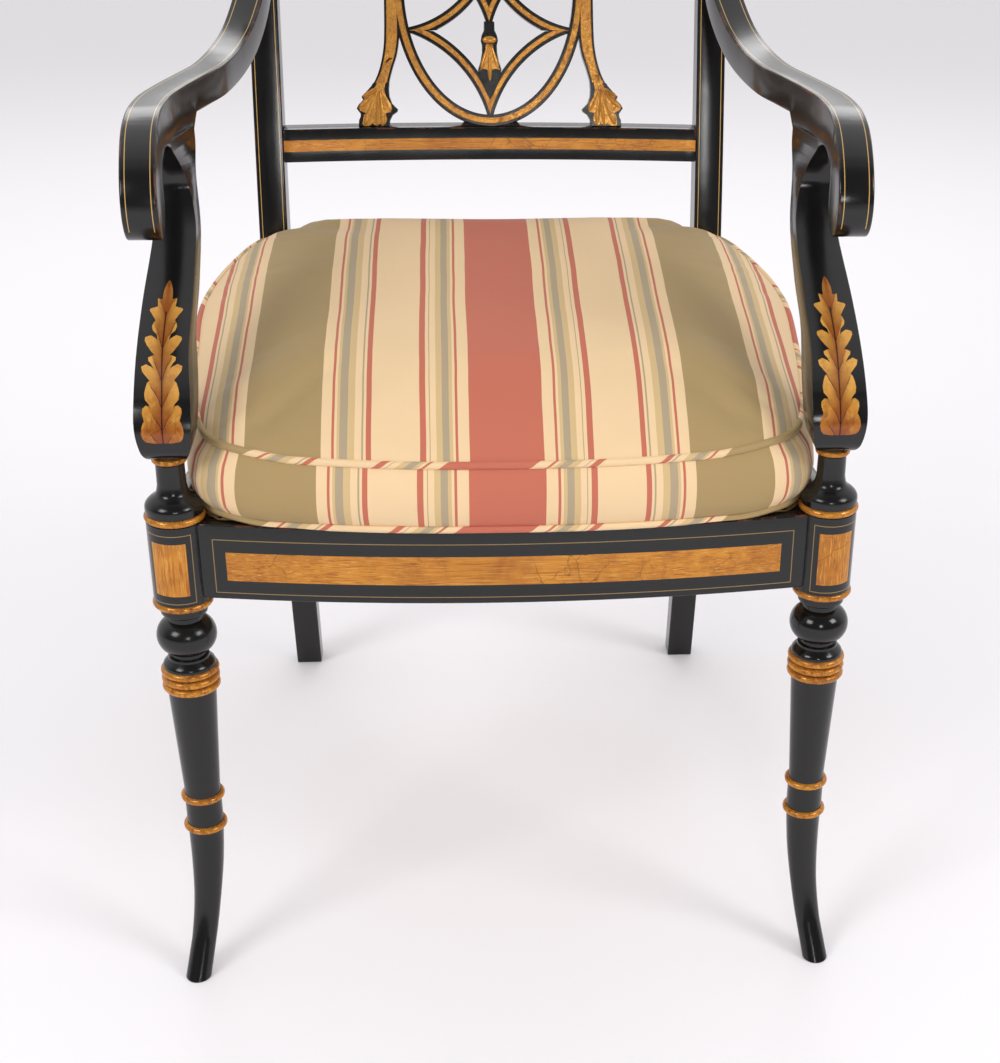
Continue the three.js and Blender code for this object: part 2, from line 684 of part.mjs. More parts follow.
// Back rails lean with the posts: a plan that is right at one level, sheared back above it
const BACK_SLOPE =
  (postFront(CREST_BOTTOM) - postFront(BACK_RAIL_TOP)) / (CREST_BOTTOM - BACK_RAIL_TOP);
function leaning(level) {
  const shear = new THREE.Matrix4().makeShear(0, 0, 0, 0, 0, BACK_SLOPE);
  return shear.setPosition(0, -BACK_SLOPE * level, 0);
}

const backRailFace = (x) =>
  postFront(BACK_RAIL_TOP) + BACK_RAIL_SAG - swing(x, POST_INNER_X, BACK_RAIL_SAG);
const BACK_RAIL_BOTTOM = BACK_RAIL_TOP - BACK_RAIL_HEIGHT;

function backRailTenons(room) {
  const y = backRailFace(POST_INNER_X) + BACK_RAIL_THICKNESS / 2;
  const half = BACK_TENON_THICKNESS / 2 + room;
  const reach = POST_INNER_X + TENON_LENGTH + room;
  return board(
    rectangle(at(-reach, y - half), at(reach, y + half)),
    BACK_RAIL_BOTTOM + BACK_TENON_SHOULDER - room,
    BACK_RAIL_TOP - BACK_TENON_SHOULDER + room,
    leaning(BACK_RAIL_TOP),
  );
}

function lowerBackRail() {
  const plan = bowedPlan(backRailFace, POST_INNER_X - SEAM, BACK_RAIL_THICKNESS);
  return board(plan, BACK_RAIL_BOTTOM, BACK_RAIL_TOP, leaning(BACK_RAIL_TOP))
    .add(backRailTenons(0))
    .subtract(splatTongues(SEAM));
}

function postTenon(room) {
  const insetX = POST_WIDTH / 4 - room;
  const insetY = TOP_DEPTH / 4 - room;
  const y = postFront(CREST_BOTTOM);
  return board(
    rectangle(
      at(POST_INNER_X + insetX, y + insetY),
      at(POST_OUTER_X - insetX, y + TOP_DEPTH - insetY),
    ),
    CREST_BOTTOM - BACK_TENON_SHOULDER,
    CREST_BOTTOM + POST_TENON_HEIGHT + room,
    PLAN,
  );
}

function backPost() {
  return board(postOutline(0), POST_INNER_X, POST_OUTER_X, SIDE)
    .add(postTenon(0))
    .subtract(sideTenon(SEAM))
    .subtract(rearTenon(SEAM))
    .subtract(backRailTenons(SEAM))
    .subtract(armScrew(SEAM));
}

const crestFace = (x) =>
  postFront(CREST_BOTTOM) - CREST_PROUD + CREST_SAG - swing(x, POST_MIDDLE_X, CREST_SAG);

function crestRail() {
  const radius = CREST_HEIGHT / 2;
  const reach = POST_OUTER_X + CREST_OVERHANG;
  const cheek = reach - radius;
  const outline = [];
  const steps = 8;
  for (let i = 0; i <= steps; i += 1) {
    const angle = -Math.PI / 2 + (Math.PI * i) / steps;
    outline.push(
      at(cheek + radius * Math.cos(angle), CREST_BOTTOM + radius * (1 + Math.sin(angle))),
    );
  }
  for (let i = 1; i <= steps; i += 1) {
    const share = i / steps;
    outline.push(
      at(cheek * (1 - share), CREST_BOTTOM + CREST_HEIGHT + CREST_ARCH * (1 - (1 - share) ** 2)),
    );
  }
  const other = outline.slice(0, -1).map((p) => at(-p.x, p.y));
  const plan = bowedPlan(crestFace, reach, CREST_THICKNESS);
  const top = CREST_BOTTOM + CREST_HEIGHT + CREST_ARCH;
  const face = [...outline, ...other.reverse()];
  return board(plan, CREST_BOTTOM, top, leaning(CREST_BOTTOM))
    .intersect(board(face, -crestFace(0) - OVERRUN, OVERRUN - crestFace(reach), FRONT))
    .subtract(bothSides(postTenon(SEAM)))
    .subtract(splatTongues(SEAM));
}

// Splat: u runs across, v up the slope, and depth counts forward from the back of the board
const SPLAT_Y = backRailFace(0) + SPLAT_SETBACK;
const SPLAT_RISE = CREST_BOTTOM - BACK_RAIL_TOP;
const SPLAT_LEAN = crestFace(0) + SPLAT_SETBACK - SPLAT_Y;
const SPLAT_HEIGHT = Math.hypot(SPLAT_RISE, SPLAT_LEAN);
const SPLAT_MIDDLE = SPLAT_HEIGHT / 2;
const splatUp = new THREE.Vector3(0, SPLAT_LEAN, SPLAT_RISE).normalize();
const splatOut = X.clone().cross(splatUp);
const SPLAT = new THREE.Matrix4()
  .makeBasis(X, splatUp, splatOut)
  .setPosition(0, SPLAT_Y, BACK_RAIL_TOP);
const ARC_FACETS = 60;

// The splat's pieces are joined flat, as on the bench, and the whole is then leant back
const flat = (outline) => board(outline, -SPLAT_THICKNESS, 0, PLAN);
const throughFlat = (outline) => board(outline, -SPLAT_THICKNESS - OVERRUN, OVERRUN, PLAN);

const splatMiddle = at(0, SPLAT_MIDDLE);
const ovalOutline = (inset) =>
  oval(splatMiddle, OVAL_HALF_WIDTH - inset, SPLAT_MIDDLE + SEAM - inset, ARC_FACETS);

// One curved bar of the lattice on the right: a band round a centre, kept inside the oval and
// between two levels
function bar(centre, radius, low, high) {
  const outer = radius + LATTICE_BAND / 2;
  const inner = radius - LATTICE_BAND / 2;
  return flat(oval(centre, outer, outer, ARC_FACETS))
    .subtract(throughFlat(oval(centre, inner, inner, ARC_FACETS)))
    .intersect(throughFlat(ovalOutline(OVAL_BAND / 2)))
    .intersect(throughFlat(rectangle(at(0, low), at(OVAL_HALF_WIDTH, high))));
}

// Two concave lozenges overlap: one grows from the bottom of the oval and one from the top. Their
// arcs' centres and bends are shares of half the splat's height
const WIDE_ARC_SHARES = { across: 0.885, drop: 1.174, bend: 0.9407 };
const TIGHT_ARC_SHARES = { across: 0.751, drop: -0.4625, bend: 0.8 };

function lattice(way) {
  const level = (drop) => SPLAT_MIDDLE * (1 - way * drop);
  const sorted = (a, b) => [Math.min(a, b), Math.max(a, b)];
  const arc = (s, from, to) => {
    const centre = at(SPLAT_MIDDLE * s.across, level(s.drop));
    return bar(centre, SPLAT_MIDDLE * s.bend, ...sorted(level(from), level(to)));
  };
  return bothSides(
    arc(WIDE_ARC_SHARES, 0, 1).add(arc(TIGHT_ARC_SHARES, TIGHT_ARC_SHARES.drop, 1)),
  );
}

// A bell-shaped husk between the foot of a lozenge and the point of the other: its ends are shares
// of half the splat's height, its outline shares of its length and of its half width
const HUSK_FOOT_SHARE = 0.2134;
const HUSK_TIP_SHARE = 0.7115;
const HUSK_SHARES = [
  { up: 0, across: 0.1 },
  { up: 0.22, across: 0.5 },
  { up: 0.45, across: 0.95 },
  { up: 0.62, across: 0.95 },
  { up: 0.8, across: 0.72 },
  { up: 0.9, across: 0.8 },
  { up: 1, across: 0.5 },
];

function husk(way) {
  const rise = (s) => blend(HUSK_FOOT_SHARE, HUSK_TIP_SHARE, s.up);
  const place = (s, side) =>
    at(side * HUSK_HALF_WIDTH * s.across, SPLAT_MIDDLE * (1 - way * (1 - rise(s))));
  const right = through(HUSK_SHARES.map((s) => place(s, 1)), 12);
  const left = through(HUSK_SHARES.map((s) => place(s, -1)), 12);
  return board([...right, ...left.reverse()], -SPLAT_THICKNESS, HUSK_RELIEF, PLAN);
}

// Straps that brace the oval from leafy feet: ups are shares of half the splat's height, acrosses
// of its half width
const STRAP_OUTER_SHARES = [
  { up: -0.05, across: 0.97 },
  { up: 0.06, across: 1 },
  { up: 0.16, across: 0.985 },
  { up: 0.3, across: 0.882 },
  { up: 0.41, across: 0.829 },
  { up: 0.55, across: 0.795 },
  { up: 0.7, across: 0.783 },
  { up: 1, across: 0.777 },
];
const STRAP_INNER_SHARES = [
  { up: -0.05, across: 0.77 },
  { up: 0.05, across: 0.71 },
  { up: 0.137, across: 0.687 },
  { up: 0.22, across: 0.73 },
  { up: 0.3, across: 0.758 },
  { up: 0.41, across: 0.732 },
  { up: 0.54, across: 0.69 },
  { up: 0.71, across: 0.67 },
  { up: 1, across: 0.67 },
];

function strap(way) {
  const place = (s) => at(SPLAT_HALF_WIDTH * s.across, SPLAT_MIDDLE * (1 + way * (s.up - 1)));
  const outer = through(STRAP_OUTER_SHARES.map(place), 18);
  const inner = through(STRAP_INNER_SHARES.map(place), 18);
  return bothSides(flat([...outer, ...inner.reverse()]));
}

// The splat is let into both rails by tongues under the pad and the feet
function splatTongues(room) {
  const middle = -SPLAT_THICKNESS / 2;
  const half = TONGUE_THICKNESS / 2 + room;
  const low = -TONGUE_LENGTH - room;
  const high = SPLAT_HEIGHT + TONGUE_LENGTH + room;
  const foot = SPLAT_HALF_WIDTH * STRAP_OUTER_SHARES[0].across - 2 * TONGUE_HALF_WIDTH;
  const tongue = (from, to) => {
    const ends = [
      rectangle(at(from - room, low), at(to + room, PAD_HEIGHT)),
      rectangle(at(from - room, SPLAT_HEIGHT - PAD_HEIGHT), at(to + room, high)),
    ];
    const pieces = ends.map((end) => board(end, middle - half, middle + half, SPLAT));
    return pieces[0].add(pieces[1]);
  };
  const reach = PAD_HALF_WIDTH - TONGUE_THICKNESS;
  const outer = tongue(foot - TONGUE_HALF_WIDTH, foot + TONGUE_HALF_WIDTH);
  return tongue(-reach, reach).add(bothSides(outer));
}

function lyreSplat() {
  const lowPad = rectangle(at(-PAD_HALF_WIDTH, -PAD_HEIGHT), at(PAD_HALF_WIDTH, PAD_HEIGHT));
  const highPad = lowPad.map((p) => at(p.x, p.y + SPLAT_HEIGHT));
  const clasp = at(OVAL_HALF_WIDTH, SPLAT_MIDDLE);
  const between = rectangle(
    at(-SPLAT_HALF_WIDTH - OVERRUN, BACK_RAIL_TOP + SEAM),
    at(SPLAT_HALF_WIDTH + OVERRUN, CREST_BOTTOM - SEAM),
  );
  const open = flat(ovalOutline(0))
    .subtract(throughFlat(ovalOutline(OVAL_BAND)))
    .add(lattice(1))
    .add(lattice(-1))
    .add(husk(1))
    .add(husk(-1))
    .add(strap(1))
    .add(strap(-1))
    .add(bothSides(flat(oval(clasp, CLASP_REACH - clasp.x, CLASP_HALF_HEIGHT, LEG_FACETS))))
    .add(flat(lowPad))
    .add(flat(highPad));
  return solid(geometryOf(open).applyMatrix4(SPLAT))
    .intersect(board(between, -crestFace(0) - OVERRUN, OVERRUN - backRailFace(0), FRONT))
    .add(splatTongues(0));
}

// Seat rails
const frontRailFace = (x) =>
  FRONT_RAIL_END_Y - FRONT_RAIL_BOW + swing(x, FRONT_RAIL_REACH, FRONT_RAIL_BOW);
const frontRailPlan = bowedPlan(frontRailFace, FRONT_RAIL_REACH, RAIL_THICKNESS);

function rearRailPlan(room) {
  const end = POST_INNER_X - SEAM + room;
  return rectangle(at(-end, REAR_RAIL_Y - room), at(end, REAR_RAIL_Y + RAIL_THICKNESS + room));
}

function sideRailPlan(room) {
  const half = RAIL_THICKNESS / 2 + room;
  const start = BLOCK_RADIUS / 2;
  const end = sideRun.length() + RAIL_THICKNESS / 2;
  return [
    sidePoint(start, -half),
    sidePoint(end, -half),
    sidePoint(end, half),
    sidePoint(start, half),
  ];
}

function frontRail() {
  return board(frontRailPlan, RAIL_BOTTOM, SEAT_Z, PLAN)
    .subtract(bothSides(legRoom))
    .add(bothSides(frontTenon(0)))
    .subtract(caneRebate)
    .subtract(blockScrews(SEAM));
}

function rearRail() {
  return board(rearRailPlan(0), RAIL_BOTTOM, SEAT_Z, PLAN)
    .add(bothSides(rearTenon(0)))
    .subtract(caneRebate)
    .subtract(blockScrews(SEAM));
}

function sideRail() {
  return board(sideRailPlan(0), RAIL_BOTTOM, SEAT_Z, PLAN)
    .subtract(legRoom)
    .subtract(behindPosts())
    .add(sideTenon(0))
    .subtract(caneRebate)
    .subtract(blockScrews(SEAM));
}

// Cane panel, let into a rebate round the inside of the seat frame and cut clear of legs and posts
function caneOutline(room) {
  const inset = RAIL_THICKNESS - CANE_LEDGE - room;
  const sideIn = CANE_LEDGE + room - RAIL_THICKNESS / 2;
  const sideX = (y) => sidePoint((y - LEG_Y) / sideWay.y, 0).x + sideIn;
  const legClear = BLOCK_RADIUS + CANE_CLEARANCE - room;
  const postClear = CANE_CLEARANCE - room;
  const corner = LEG_X - legClear;
  const half = [];
  const steps = 8;
  for (let i = 0; i <= steps; i += 1) {
    const x = (corner * i) / steps;
    half.push(at(x, frontRailFace(x) + inset));
  }
  half.push(
    at(sideX(LEG_Y + legClear), LEG_Y + legClear),
    at(sideX(WAIST_Y - postClear), WAIST_Y - postClear),
    at(POST_INNER_X - postClear, WAIST_Y - postClear),
    at(POST_INNER_X - postClear, REAR_RAIL_Y + CANE_LEDGE + room),
  );
  const other = half.slice(1).map((p) => at(-p.x, p.y));
  return [...half, ...other.reverse()];
}

const CANE_LOW = SEAT_Z - CANE_THICKNESS;
const caneRebate = board(caneOutline(SEAM), CANE_LOW - SEAM, SEAT_Z + OVERRUN, PLAN);
const canePanel = () => board(caneOutline(0), CANE_LOW, SEAT_Z - SEAM, PLAN);

// Corner blocks, each screwed to the two rails that it ties
const BLOCK_TOP = CANE_LOW - BLOCK_DROP;
const inward = at(-1, 0);
const CORNERS = {
  front: { corner: at(LEG_X, LEG_Y), along: sideWay, start: 0 },
  rear: {
    corner: sidePoint(sideRun.length() + REAR_RAIL_SETBACK, 0),
    along: sideWay.clone().negate(),
    start: sideRun.length() + REAR_RAIL_SETBACK,
  },
};

function cornerBlock(end) {
  const { corner, along } = CORNERS[end];
  const across = corner.clone().addScaledVector(inward, BLOCK_LENGTH);
  const down = corner.clone().addScaledVector(along, BLOCK_LENGTH);
  const outline = [
    corner,
    across,
    across.clone().addScaledVector(along, BLOCK_NOSE),
    down.clone().addScaledVector(inward, BLOCK_NOSE),
    down,
  ];
  const frontRoom = frontRailPlan.map((p) => at(p.x, p.y + SEAM));
  const rooms = [frontRoom, rearRailPlan(SEAM), sideRailPlan(SEAM)];
  const low = BLOCK_TOP - BLOCK_HEIGHT;
  return rooms
    .reduce(
      (body, plan) => body.subtract(board(plan, low - OVERRUN, BLOCK_TOP + OVERRUN, PLAN)),
      board(outline, low, BLOCK_TOP, PLAN),
    )
    .subtract(legRoom)
    .subtract(postRoom)
    .subtract(blockScrews(SEAM));
}

// Where a block's two screws start: one enters the front or rear rail, the other the side rail
function screwPlace(end, rail) {
  const { corner, start } = CORNERS[end];
  if (rail === "side") {
    const distance = Math.abs(start - SCREW_PLACE);
    return { head: sidePoint(distance, -RAIL_THICKNESS / 2 - SCREW_GRIP), way: sideOut };
  }
  const x = corner.x - SCREW_PLACE;
  if (end === "front") {
    return { head: at(x, frontRailFace(x) + RAIL_THICKNESS + SCREW_GRIP), way: at(0, -1) };
  }
  return { head: at(x, REAR_RAIL_Y - SCREW_GRIP), way: at(0, 1) };
}

function blockScrew(end, rail, room) {
  const { head, way } = screwPlace(end, rail);
  const geometry = screw(SCREW_RADIUS, SCREW_LENGTH, room);
  geometry.rotateZ(Math.atan2(way.y, way.x) + Math.PI / 2);
  return solid(geometry.translate(head.x, head.y, BLOCK_TOP - BLOCK_HEIGHT / 2));
}

function blockScrews(room) {
  const places = ["front", "rear"].flatMap((end) => [
    [end, "end"],
    [end, "side"],
  ]);
  const right = places.map(([end, rail]) => blockScrew(end, rail, room));
  return bothSides(right.reduce((all, one) => all.add(one)));
}

// Cushion. Its plan on the right: acrosses are shares of its half width, alongs of its run from
// the front to the posts
const CUSHION_HALF_WIDTH = LEG_X - CUSHION_LEG_INSET;
const CUSHION_FRONT_Y = frontRailFace(0) - CUSHION_OVERHANG;
const CUSHION_POST_Y = WAIST_Y - CUSHION_POST_GAP;
const CUSHION_SHARES = [
  { across: 0, along: 0 },
  { across: 0.28, along: 0.004 },
  { across: 0.524, along: 0.026 },
  { across: 0.764, along: 0.069 },
  { across: 0.88, along: 0.1 },
  { across: 0.928, along: 0.145 },
  { across: 0.948, along: 0.326 },
  { across: 0.992, along: 0.519 },
  { across: 1, along: 0.648 },
  { across: 0.972, along: 0.82 },
  { across: 0.93, along: 0.94 },
  { across: 0.905, along: 0.984 },
  { across: 0.86, along: 1 },
];

function cushionOutline() {
  const run = CUSHION_POST_Y - CUSHION_FRONT_Y;
  const side = through(
    CUSHION_SHARES.map((s) => at(CUSHION_HALF_WIDTH * s.across, CUSHION_FRONT_Y + run * s.along)),
    24,
  );
  const tongueX = POST_INNER_X - CUSHION_POST_GAP;
  const tongueY = CUSHION_POST_Y + CUSHION_TONGUE;
  const half = [
    ...side,
    at(tongueX, CUSHION_POST_Y),
    at(tongueX, tongueY),
    at((tongueX * 2) / 3, tongueY),
    at(tongueX / 3, tongueY),
  ];
  const other = half.slice(1).map((p) => at(-p.x, p.y));
  return [...half, at(0, tongueY), ...other.reverse()];
}

// Rings from the underside up: a share in towards the middle, a set-in, how far up the boxing the
// ring lies, and a share of the crown
const CUSHION_RINGS = [
  { inShare: 0.5, set: 0, up: 0, rise: 0, crownShare: 0 },
  { inShare: 0, set: PULL_IN, up: 0, rise: 0, crownShare: 0 },
  { inShare: 0, set: 0, up: 0, rise: PIPING_RADIUS, crownShare: 0 },
  { inShare: 0, set: PULL_IN / 2, up: 0, rise: 2 * PIPING_RADIUS, crownShare: 0 },
  { inShare: 0, set: PULL_IN, up: 0.5, rise: 0, crownShare: 0 },
  { inShare: 0, set: PULL_IN / 2, up: 1, rise: -2 * PIPING_RADIUS, crownShare: 0 },
  { inShare: 0, set: 0, up: 1, rise: -PIPING_RADIUS, crownShare: 0 },
  { inShare: 0, set: PULL_IN / 2, up: 1, rise: 0, crownShare: 0 },
  { inShare: 0.06, set: 0, up: 1, rise: 0, crownShare: 0.26 },
  { inShare: 0.2, set: 0, up: 1, rise: 0, crownShare: 0.62 },
  { inShare: 0.42, set: 0, up: 1, rise: 0, crownShare: 0.88 },
  { inShare: 0.7, set: 0, up: 1, rise: 0, crownShare: 0.98 },
];

function seatCushion() {
  const outline = cushionOutline();
  const low = SEAT_Z + SEAM;
  const tongueY = CUSHION_POST_Y + CUSHION_TONGUE;
  const middleY = (CUSHION_FRONT_Y + tongueY) / 2;
  const pipingAt = (y) =>
    blend(PIPING_FRONT_Z, PIPING_BACK_Z, (y - CUSHION_FRONT_Y) / (tongueY - CUSHION_FRONT_Y));
  const corners = [new THREE.Vector3(0, middleY, low)];
  for (const ring of CUSHION_RINGS) {
    for (const p of outline) {
      const spoke = at(p.x, p.y - middleY);
      const reach = 1 - ring.inShare - ring.set / spoke.length();
      const y = middleY + spoke.y * reach;
      const z = blend(low, pipingAt(y), ring.up) + ring.rise + CROWN * ring.crownShare;
      corners.push(new THREE.Vector3(spoke.x * reach, y, z));
    }
  }
  corners.push(new THREE.Vector3(0, middleY, pipingAt(middleY) + CROWN));
  const around = outline.length;
  const index = [];
  for (let i = 0; i < around; i += 1) {
    const next = (i + 1) % around;
    index.push(0, 1 + next, 1 + i);
    for (let ring = 0; ring < CUSHION_RINGS.length - 1; ring += 1) {
      const a = 1 + ring * around;
      const b = a + around;
      index.push(a + i, a + next, b + next, a + i, b + next, b + i);
    }
    const last = 1 + (CUSHION_RINGS.length - 1) * around;
    index.push(last + i, last + next, corners.length - 1);
  }
  const geometry = new THREE.BufferGeometry().setFromPoints(corners);
  geometry.setIndex(index);
  return solid(geometry);
}

// Assembly
const chair = new THREE.Group();

function add(name, body, finish, side = 1) {
  const material = new THREE.MeshStandardMaterial({ ...FINISHES[finish], flatShading: true });
  const mesh = new THREE.Mesh(geometryOf(body), material);
  mesh.name = name;
  mesh.scale.x = side;
  chair.add(mesh);
}

function addPair(name, body, finish) {
  add(`right_${name}`, body, finish, 1);
  add(`left_${name}`, body, finish, -1);
}

add("front_seat_rail", frontRail(), "ebonised");
add("rear_seat_rail", rearRail(), "ebonised");
addPair("side_seat_rail", sideRail(), "ebonised");
addPair("front_leg", frontLeg(), "ebonised");
addPair("back_post", backPost(), "ebonised");
addPair("arm_stump", armStump(), "ebonised");
addPair("arm_support", armSupport(), "ebonised");
addPair("arm", arm(), "ebonised");
addPair("arm_dowel", armDowel(0), "beech");
addPair("arm_screw", armScrew(0), "steel");
addPair("arm_screw_plug", armPlug(), "ebonised");
add("lower_back_rail", lowerBackRail(), "ebonised");
add("crest_rail", crestRail(), "ebonised");
add("lyre_splat", lyreSplat(), "gilt");
add("cane_panel", canePanel(), "cane");
for (const end of ["front", "rear"]) {
  addPair(`${end}_corner_block`, cornerBlock(end), "beech");
  addPair(`${end}_block_${end}_screw`, blockScrew(end, "end", 0), "steel");
  addPair(`${end}_block_side_screw`, blockScrew(end, "side", 0), "steel");
}
add("seat_cushion", seatCushion(), "striped_cloth");

// The origin is at floor level under the middle of the chair
const middle = new THREE.Box3().setFromObject(chair).getCenter(new THREE.Vector3());
chair.position.y = -middle.y;
const model = new THREE.Group();
model.add(chair);

export default model;
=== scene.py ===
"""A lyre back armchair: ebonised and gilt frame, pierced oval splat, cane seat and striped cushion.

Lengths are metres. Places are first drawn with the front legs' axes at LEG_Y and are then set back
by SET_BACK, the frame's own place of the front rail.
"""

import math

import bmesh
import bpy
import mathutils.kdtree
from mathutils import Matrix, Vector


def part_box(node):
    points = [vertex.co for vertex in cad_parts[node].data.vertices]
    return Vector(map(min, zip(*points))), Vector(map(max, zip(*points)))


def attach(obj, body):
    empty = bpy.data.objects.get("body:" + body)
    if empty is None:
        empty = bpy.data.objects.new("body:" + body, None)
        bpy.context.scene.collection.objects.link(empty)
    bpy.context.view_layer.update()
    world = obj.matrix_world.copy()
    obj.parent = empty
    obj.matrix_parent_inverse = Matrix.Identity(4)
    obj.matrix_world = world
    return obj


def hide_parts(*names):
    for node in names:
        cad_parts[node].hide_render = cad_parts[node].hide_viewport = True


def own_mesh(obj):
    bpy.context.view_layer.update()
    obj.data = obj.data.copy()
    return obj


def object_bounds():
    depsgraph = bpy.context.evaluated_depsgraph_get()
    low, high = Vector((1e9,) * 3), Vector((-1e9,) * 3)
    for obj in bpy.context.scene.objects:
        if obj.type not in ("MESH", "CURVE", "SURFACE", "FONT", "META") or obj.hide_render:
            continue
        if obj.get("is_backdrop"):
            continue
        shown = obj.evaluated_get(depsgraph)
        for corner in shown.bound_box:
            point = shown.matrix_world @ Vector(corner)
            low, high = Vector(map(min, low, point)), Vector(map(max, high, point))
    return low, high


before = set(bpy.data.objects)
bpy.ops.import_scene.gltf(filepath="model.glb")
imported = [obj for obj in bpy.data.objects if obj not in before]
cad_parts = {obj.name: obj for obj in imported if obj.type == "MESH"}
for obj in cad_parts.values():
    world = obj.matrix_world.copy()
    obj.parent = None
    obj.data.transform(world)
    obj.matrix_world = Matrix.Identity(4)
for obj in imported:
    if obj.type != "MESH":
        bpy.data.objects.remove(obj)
CAD_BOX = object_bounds()

bl_info = {
    "name": "Lyre back armchair",
    "version": (1, 0, 0),
    "blender": (4, 5, 0),
    "location": "3D View > Sidebar > Chair",
    "description": "Builds the armchair's wood, gilding, cane, cushion and studio",
    "category": "Object",
}

# Front legs and stumps
LEG_X = 0.257
LEG_Y = -0.225
TOE_START = 0.150
TOE_OUT = 0.0125
TOE_FORWARD = 0.0405
TOE_CURL = 2.6
BLOCK_RADIUS = 0.0228
LOWER_BEAD = 0.346
UPPER_BEAD = 0.420
ANKLE_BEADS = (0.133, 0.162)
KNEE_BEADS = (0.2696, 0.2768, 0.284)
STUMP_BOTTOM = 0.4234
STUMP_BEAD = 0.467
# Sizes of the beads, as (outer radius, tube radius)
ANKLE_BEAD_SIZE = (0.0182, 0.003)
KNEE_BEAD_SIZE = (0.0234, 0.0032)
BLOCK_BEAD_SIZE = (0.024, 0.0031)
STUMP_BEAD_SIZE = (0.0138, 0.0026)

# Back posts
POST_INNER = 0.1973
POST_OUTER = 0.2243
POST_MIDDLE = (POST_INNER + POST_OUTER) / 2
WAIST_Y = 0.206
WAIST_Z = 0.430
POST_TOP = 0.8567
# Rakes below and above the waist, as (slope, length over which the bend is eased)
LEG_RAKE = (0.281, 0.160)
BACK_RAKE = (0.25, 0.120)
FOOT_DEPTH = 0.027
WAIST_DEPTH = 0.036
POST_TOP_DEPTH = 0.024

# Seat frame
SEAT_TOP = 0.417
RAIL_BOTTOM = 0.353
RAIL_THICKNESS = 0.024
FRONT_RAIL_END = -0.238
FRONT_RAIL_REACH = 0.240
FRONT_RAIL_BOW = 0.019
REBATE_WIDTH = 0.0133
REBATE_DEPTH = 0.0033
# How far the side rails' ends are let into a leg's block and a post, and the rear rail lies behind
# the posts' front
BLOCK_LET_IN = 0.004
POST_LET_IN = 0.002
REAR_RAIL_BACK = 0.008

# Back rails
BACK_RAIL_TOP = 0.6113
BACK_RAIL_BOTTOM = 0.5817
BACK_RAIL_THICKNESS = 0.022
BACK_RAIL_SAG = 0.011
CREST_BOTTOM = 0.857
CREST_HEIGHT = 0.044
CREST_ARCH = 0.009
CREST_THICKNESS = 0.025
CREST_OVERHANG = 0.010
CREST_SAG = 0.016
CREST_PROUD = 0.001

# Splat, drawn flat with v = 0 at the top of the lower rail
SPLAT_THICKNESS = 0.013
SPLAT_SETBACK = 0.0035
SPLAT_HALF_WIDTH = 0.127
OVAL_HALF_WIDTH = 0.0914
OVAL_BAND = 0.0112
OVAL_GILT = 0.0057
OVAL_LIFT = 0.0006
OVAL_OVERLAP = 0.0003
LATTICE_BAND = 0.0104
LATTICE_GILT = 0.0044
# The upper lozenge lies this much in front of the lower one, where they cross
UPPER_LIFT = 0.00025

# Arms and their supports
ARM_WIDTH = 0.027
ARM_THICKNESS = 0.025
ARM_FRONT = -0.202
ARM_WIDEST = 0.268
ARM_CROWN = 0.707
ARM_DIP = 0.7095
ARM_JOIN = 0.826
ARM_SEAM = 0.670
KNUCKLE_REACH = 0.100
SCROLL_RADIUS = 0.028
SCROLL_Z = 0.651
HOOK_RADIUS = 0.045
HOOK_Y = -0.113
HOOK_Z = 0.631
SUPPORT_BOTTOM = 0.4699
SUPPORT_REACH = 0.023
SUPPORT_SEAT = 0.035
SUPPORT_WIDTH = 0.042
# The support starts to follow the arm's curve at this height, and runs a little way up into the arm
SUPPORT_JOINING = 0.6
SUPPORT_OVERRUN = 0.004

# Cushion
CUSHION_FRONT = -0.262
CUSHION_BACK = 0.220
CUSHION_LOW = 0.4173
PIPING_FRONT = 0.4705
PIPING_BACK = 0.5175

SET_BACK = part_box("front_seat_rail")[0].y - (FRONT_RAIL_END - FRONT_RAIL_BOW)

# Shading: a face with more corners than this is shaded flat, and a sharper edge than this stays sharp
FLAT_CAP_CORNERS = 12
SHARP = math.radians(30)
# Corners nearer to each other than this are one
MERGED = 0.000001
# Segments of a finely eased edge, and the least bend that is eased, in degrees
FINE_EASE = (2, 60)


# Lines and outlines
def blend(first, second, share):
    return first + (second - first) * share


def smooth(share):
    return share * share * (3 - 2 * share)


def climb(value, start, run):
    """A smooth climb from 0 where the run starts to 1 where it ends."""
    return smooth(min(max((value - start) / run, 0), 1))


def whole(half):
    """The right half of an outline and its mirror image, as one outline."""
    return [*half, *[(-x, up) for x, up in reversed(half) if x > 0]]


def through(points, steps):
    """Even steps along a smooth line through the points."""
    last = len(points) - 1
    line = []
    for i in range(steps + 1):
        place = last * i / steps
        first = min(int(place), last - 1)
        share = place - first
        near = [Vector(points[min(max(first + k, 0), last)]) for k in (-1, 0, 1, 2)]
        leave = (near[2] - near[0]) / 2
        arrive = (near[3] - near[1]) / 2
        line.append(
            (2 * near[1] - 2 * near[2] + leave + arrive) * share**3
            + (3 * near[2] - 3 * near[1] - 2 * leave - arrive) * share**2
            + leave * share
            + near[1]
        )
    return line


def arc(middle, radius, start, end, steps):
    """Places round a circle between two angles in degrees."""
    line = []
    for i in range(steps + 1):
        angle = math.radians(blend(start, end, i / steps))
        line.append(Vector(middle) + radius * Vector((math.cos(angle), math.sin(angle))))
    return line


def level(table, place):
    """The value of a table of (place, value) pairs at a place between them."""
    for (low, first), (high, second) in zip(table, table[1:]):
        if place <= high:
            return blend(first, second, max(place - low, 0) / (high - low))
    return table[-1][1]


def swing(x, half_span, rise):
    """How far a circular bow has swung back from its middle at x."""
    radius = (half_span**2 + rise**2) / (2 * rise)
    return radius - math.sqrt(radius**2 - x**2)


